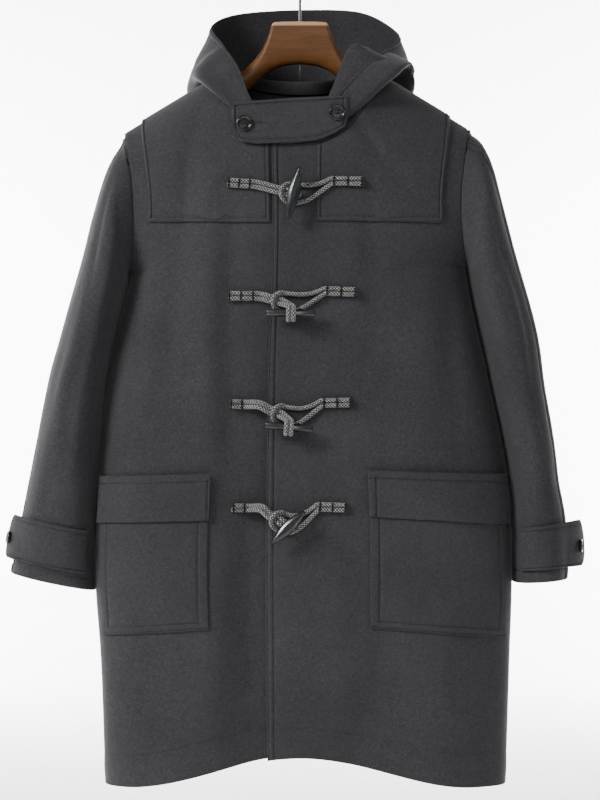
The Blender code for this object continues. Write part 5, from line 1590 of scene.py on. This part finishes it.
bend, shares = HOOK_INSIDE + HOOK_WIRE, np.linspace(0, 1, 220)
turns = np.radians(np.linspace(195, -52, 15))
rail = np.stack([bend * np.cos(turns), 0 * turns, -HOOK_INSIDE + bend * np.sin(turns)], axis=-1)
foot = HANGER_ROWS[0, 1] - 0.0015
shank = np.array([(0.0045, 0, -0.0415), (0.0008, 0, -0.0490), (0, 0, -0.0570), (0, 0, -0.0710), (0, 0, foot)])
wire = even_steps(np.concatenate([rail, shank]), shares, 0.5)
ball = np.sqrt(np.clip(1 - (1 - shares * 60).clip(0, 1) ** 2, 0.05, 1))
facing = np.broadcast_to([0, 1.0, 0], wire.shape)
hook = tubes("hook_wire", wire[None], facing[None], HOOK_WIRE * ball[None], 16, make_steel())
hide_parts("hook")
print(f"hook: {way_along(wire)[-1] * 1000:.0f} mm of wire")

# %% [markdown]
# ## Floor, light and camera
#
# The coat was photographed against white. A white world alone would leave the wool without form, so a dim
# world fills the shadows and a soft window at the front left models the folds. Two lamps beside the coat
# draw its edges, and two more behind it brighten the pale floor, which sweeps up to a wall so far back that
# the coat can be seen from behind too. The camera looks level at the coat's middle.

# %% Floor
FLOOR_LEVEL, BEND_START, BEND, WALL = -1.32, 3.2, 1.2, 4.4
turn = np.linspace(0.1, math.pi / 2, 14)
flat, bent = np.linspace(-1.4, BEND_START, 12), BEND_START + BEND * np.sin(turn)
depth = np.concatenate([flat, bent, np.full(6, WALL)])
height = np.concatenate([0 * flat, BEND - BEND * np.cos(turn), np.linspace(1.6, 4.5, 6)]) + FLOOR_LEVEL
sweep = np.stack(np.broadcast_arrays(np.linspace(-5, 5, 12), depth[:, None], height[:, None]), axis=-1)
paper = nodes_of("paper", (0.93, 0.93, 0.93), 0.9)[0]
mesh = bpy.data.meshes.new("floor")
mesh.from_pydata(sweep.reshape(-1, 3).tolist(), [], grid_faces(len(depth), 12).tolist())
mesh.shade_smooth()
mesh.materials.append(paper)
floor = bpy.data.objects.new("floor", mesh)
bpy.context.scene.collection.objects.link(floor)
print("floor:", sweep.shape[:2], "points")

# %% Light
world = bpy.data.worlds.new("room")
world.use_nodes = True
world.node_tree.nodes["Background"].inputs["Color"].default_value = (1, 1, 1, 1)
world.node_tree.nodes["Background"].inputs["Strength"].default_value = 0.36
bpy.context.scene.world = world


def soft_light(name, place, aim, size, power):
    """A square area light at a place, turned to a point."""
    lamp = bpy.data.lights.new(name, "AREA")
    lamp.size, lamp.energy = size, power
    made = bpy.data.objects.new(name, lamp)
    made.location = place
    toward = np.array(aim) - np.array(place)
    flat = math.hypot(toward[0], toward[1])
    made.rotation_euler = (math.atan2(flat, -toward[2]), 0, math.atan2(-toward[0], toward[1]))
    bpy.context.scene.collection.objects.link(made)


soft_light("window", (-2.6, -1.9, 1.2), (0, 0, -0.6), 1.0, 185)
soft_light("front", (0.5, -3.4, 1.2), (0, 0, -0.6), 1.6, 52)
soft_light("edge_left", (-2.0, 0.9, -0.3), (0, 0, -0.6), 1.6, 75)
soft_light("edge_right", (2.0, 0.9, -0.3), (0, 0, -0.6), 1.6, 45)
soft_light("backdrop_left", (-2.3, 2.6, -0.4), (-0.1, 4.2, -0.7), 1.2, 560)
soft_light("backdrop_right", (2.3, 2.6, -0.4), (0.1, 4.2, -0.7), 1.2, 560)
print("lamps:", len(bpy.data.lights))

# %% Camera
CAMERA_AWAY, CAMERA_LEVEL, LENS = 3.28, -0.612, 70.6
camera = bpy.data.cameras.new("camera")
camera.sensor_fit, camera.sensor_height, camera.lens = "VERTICAL", 24, LENS
view = bpy.data.objects.new("camera", camera)
view.location, view.rotation_euler = (0, -CAMERA_AWAY, CAMERA_LEVEL), (math.pi / 2, 0, 0)
bpy.context.scene.collection.objects.link(view)
bpy.context.scene.camera = view
print("camera:", CAMERA_AWAY, "m away, lens", LENS, "mm")
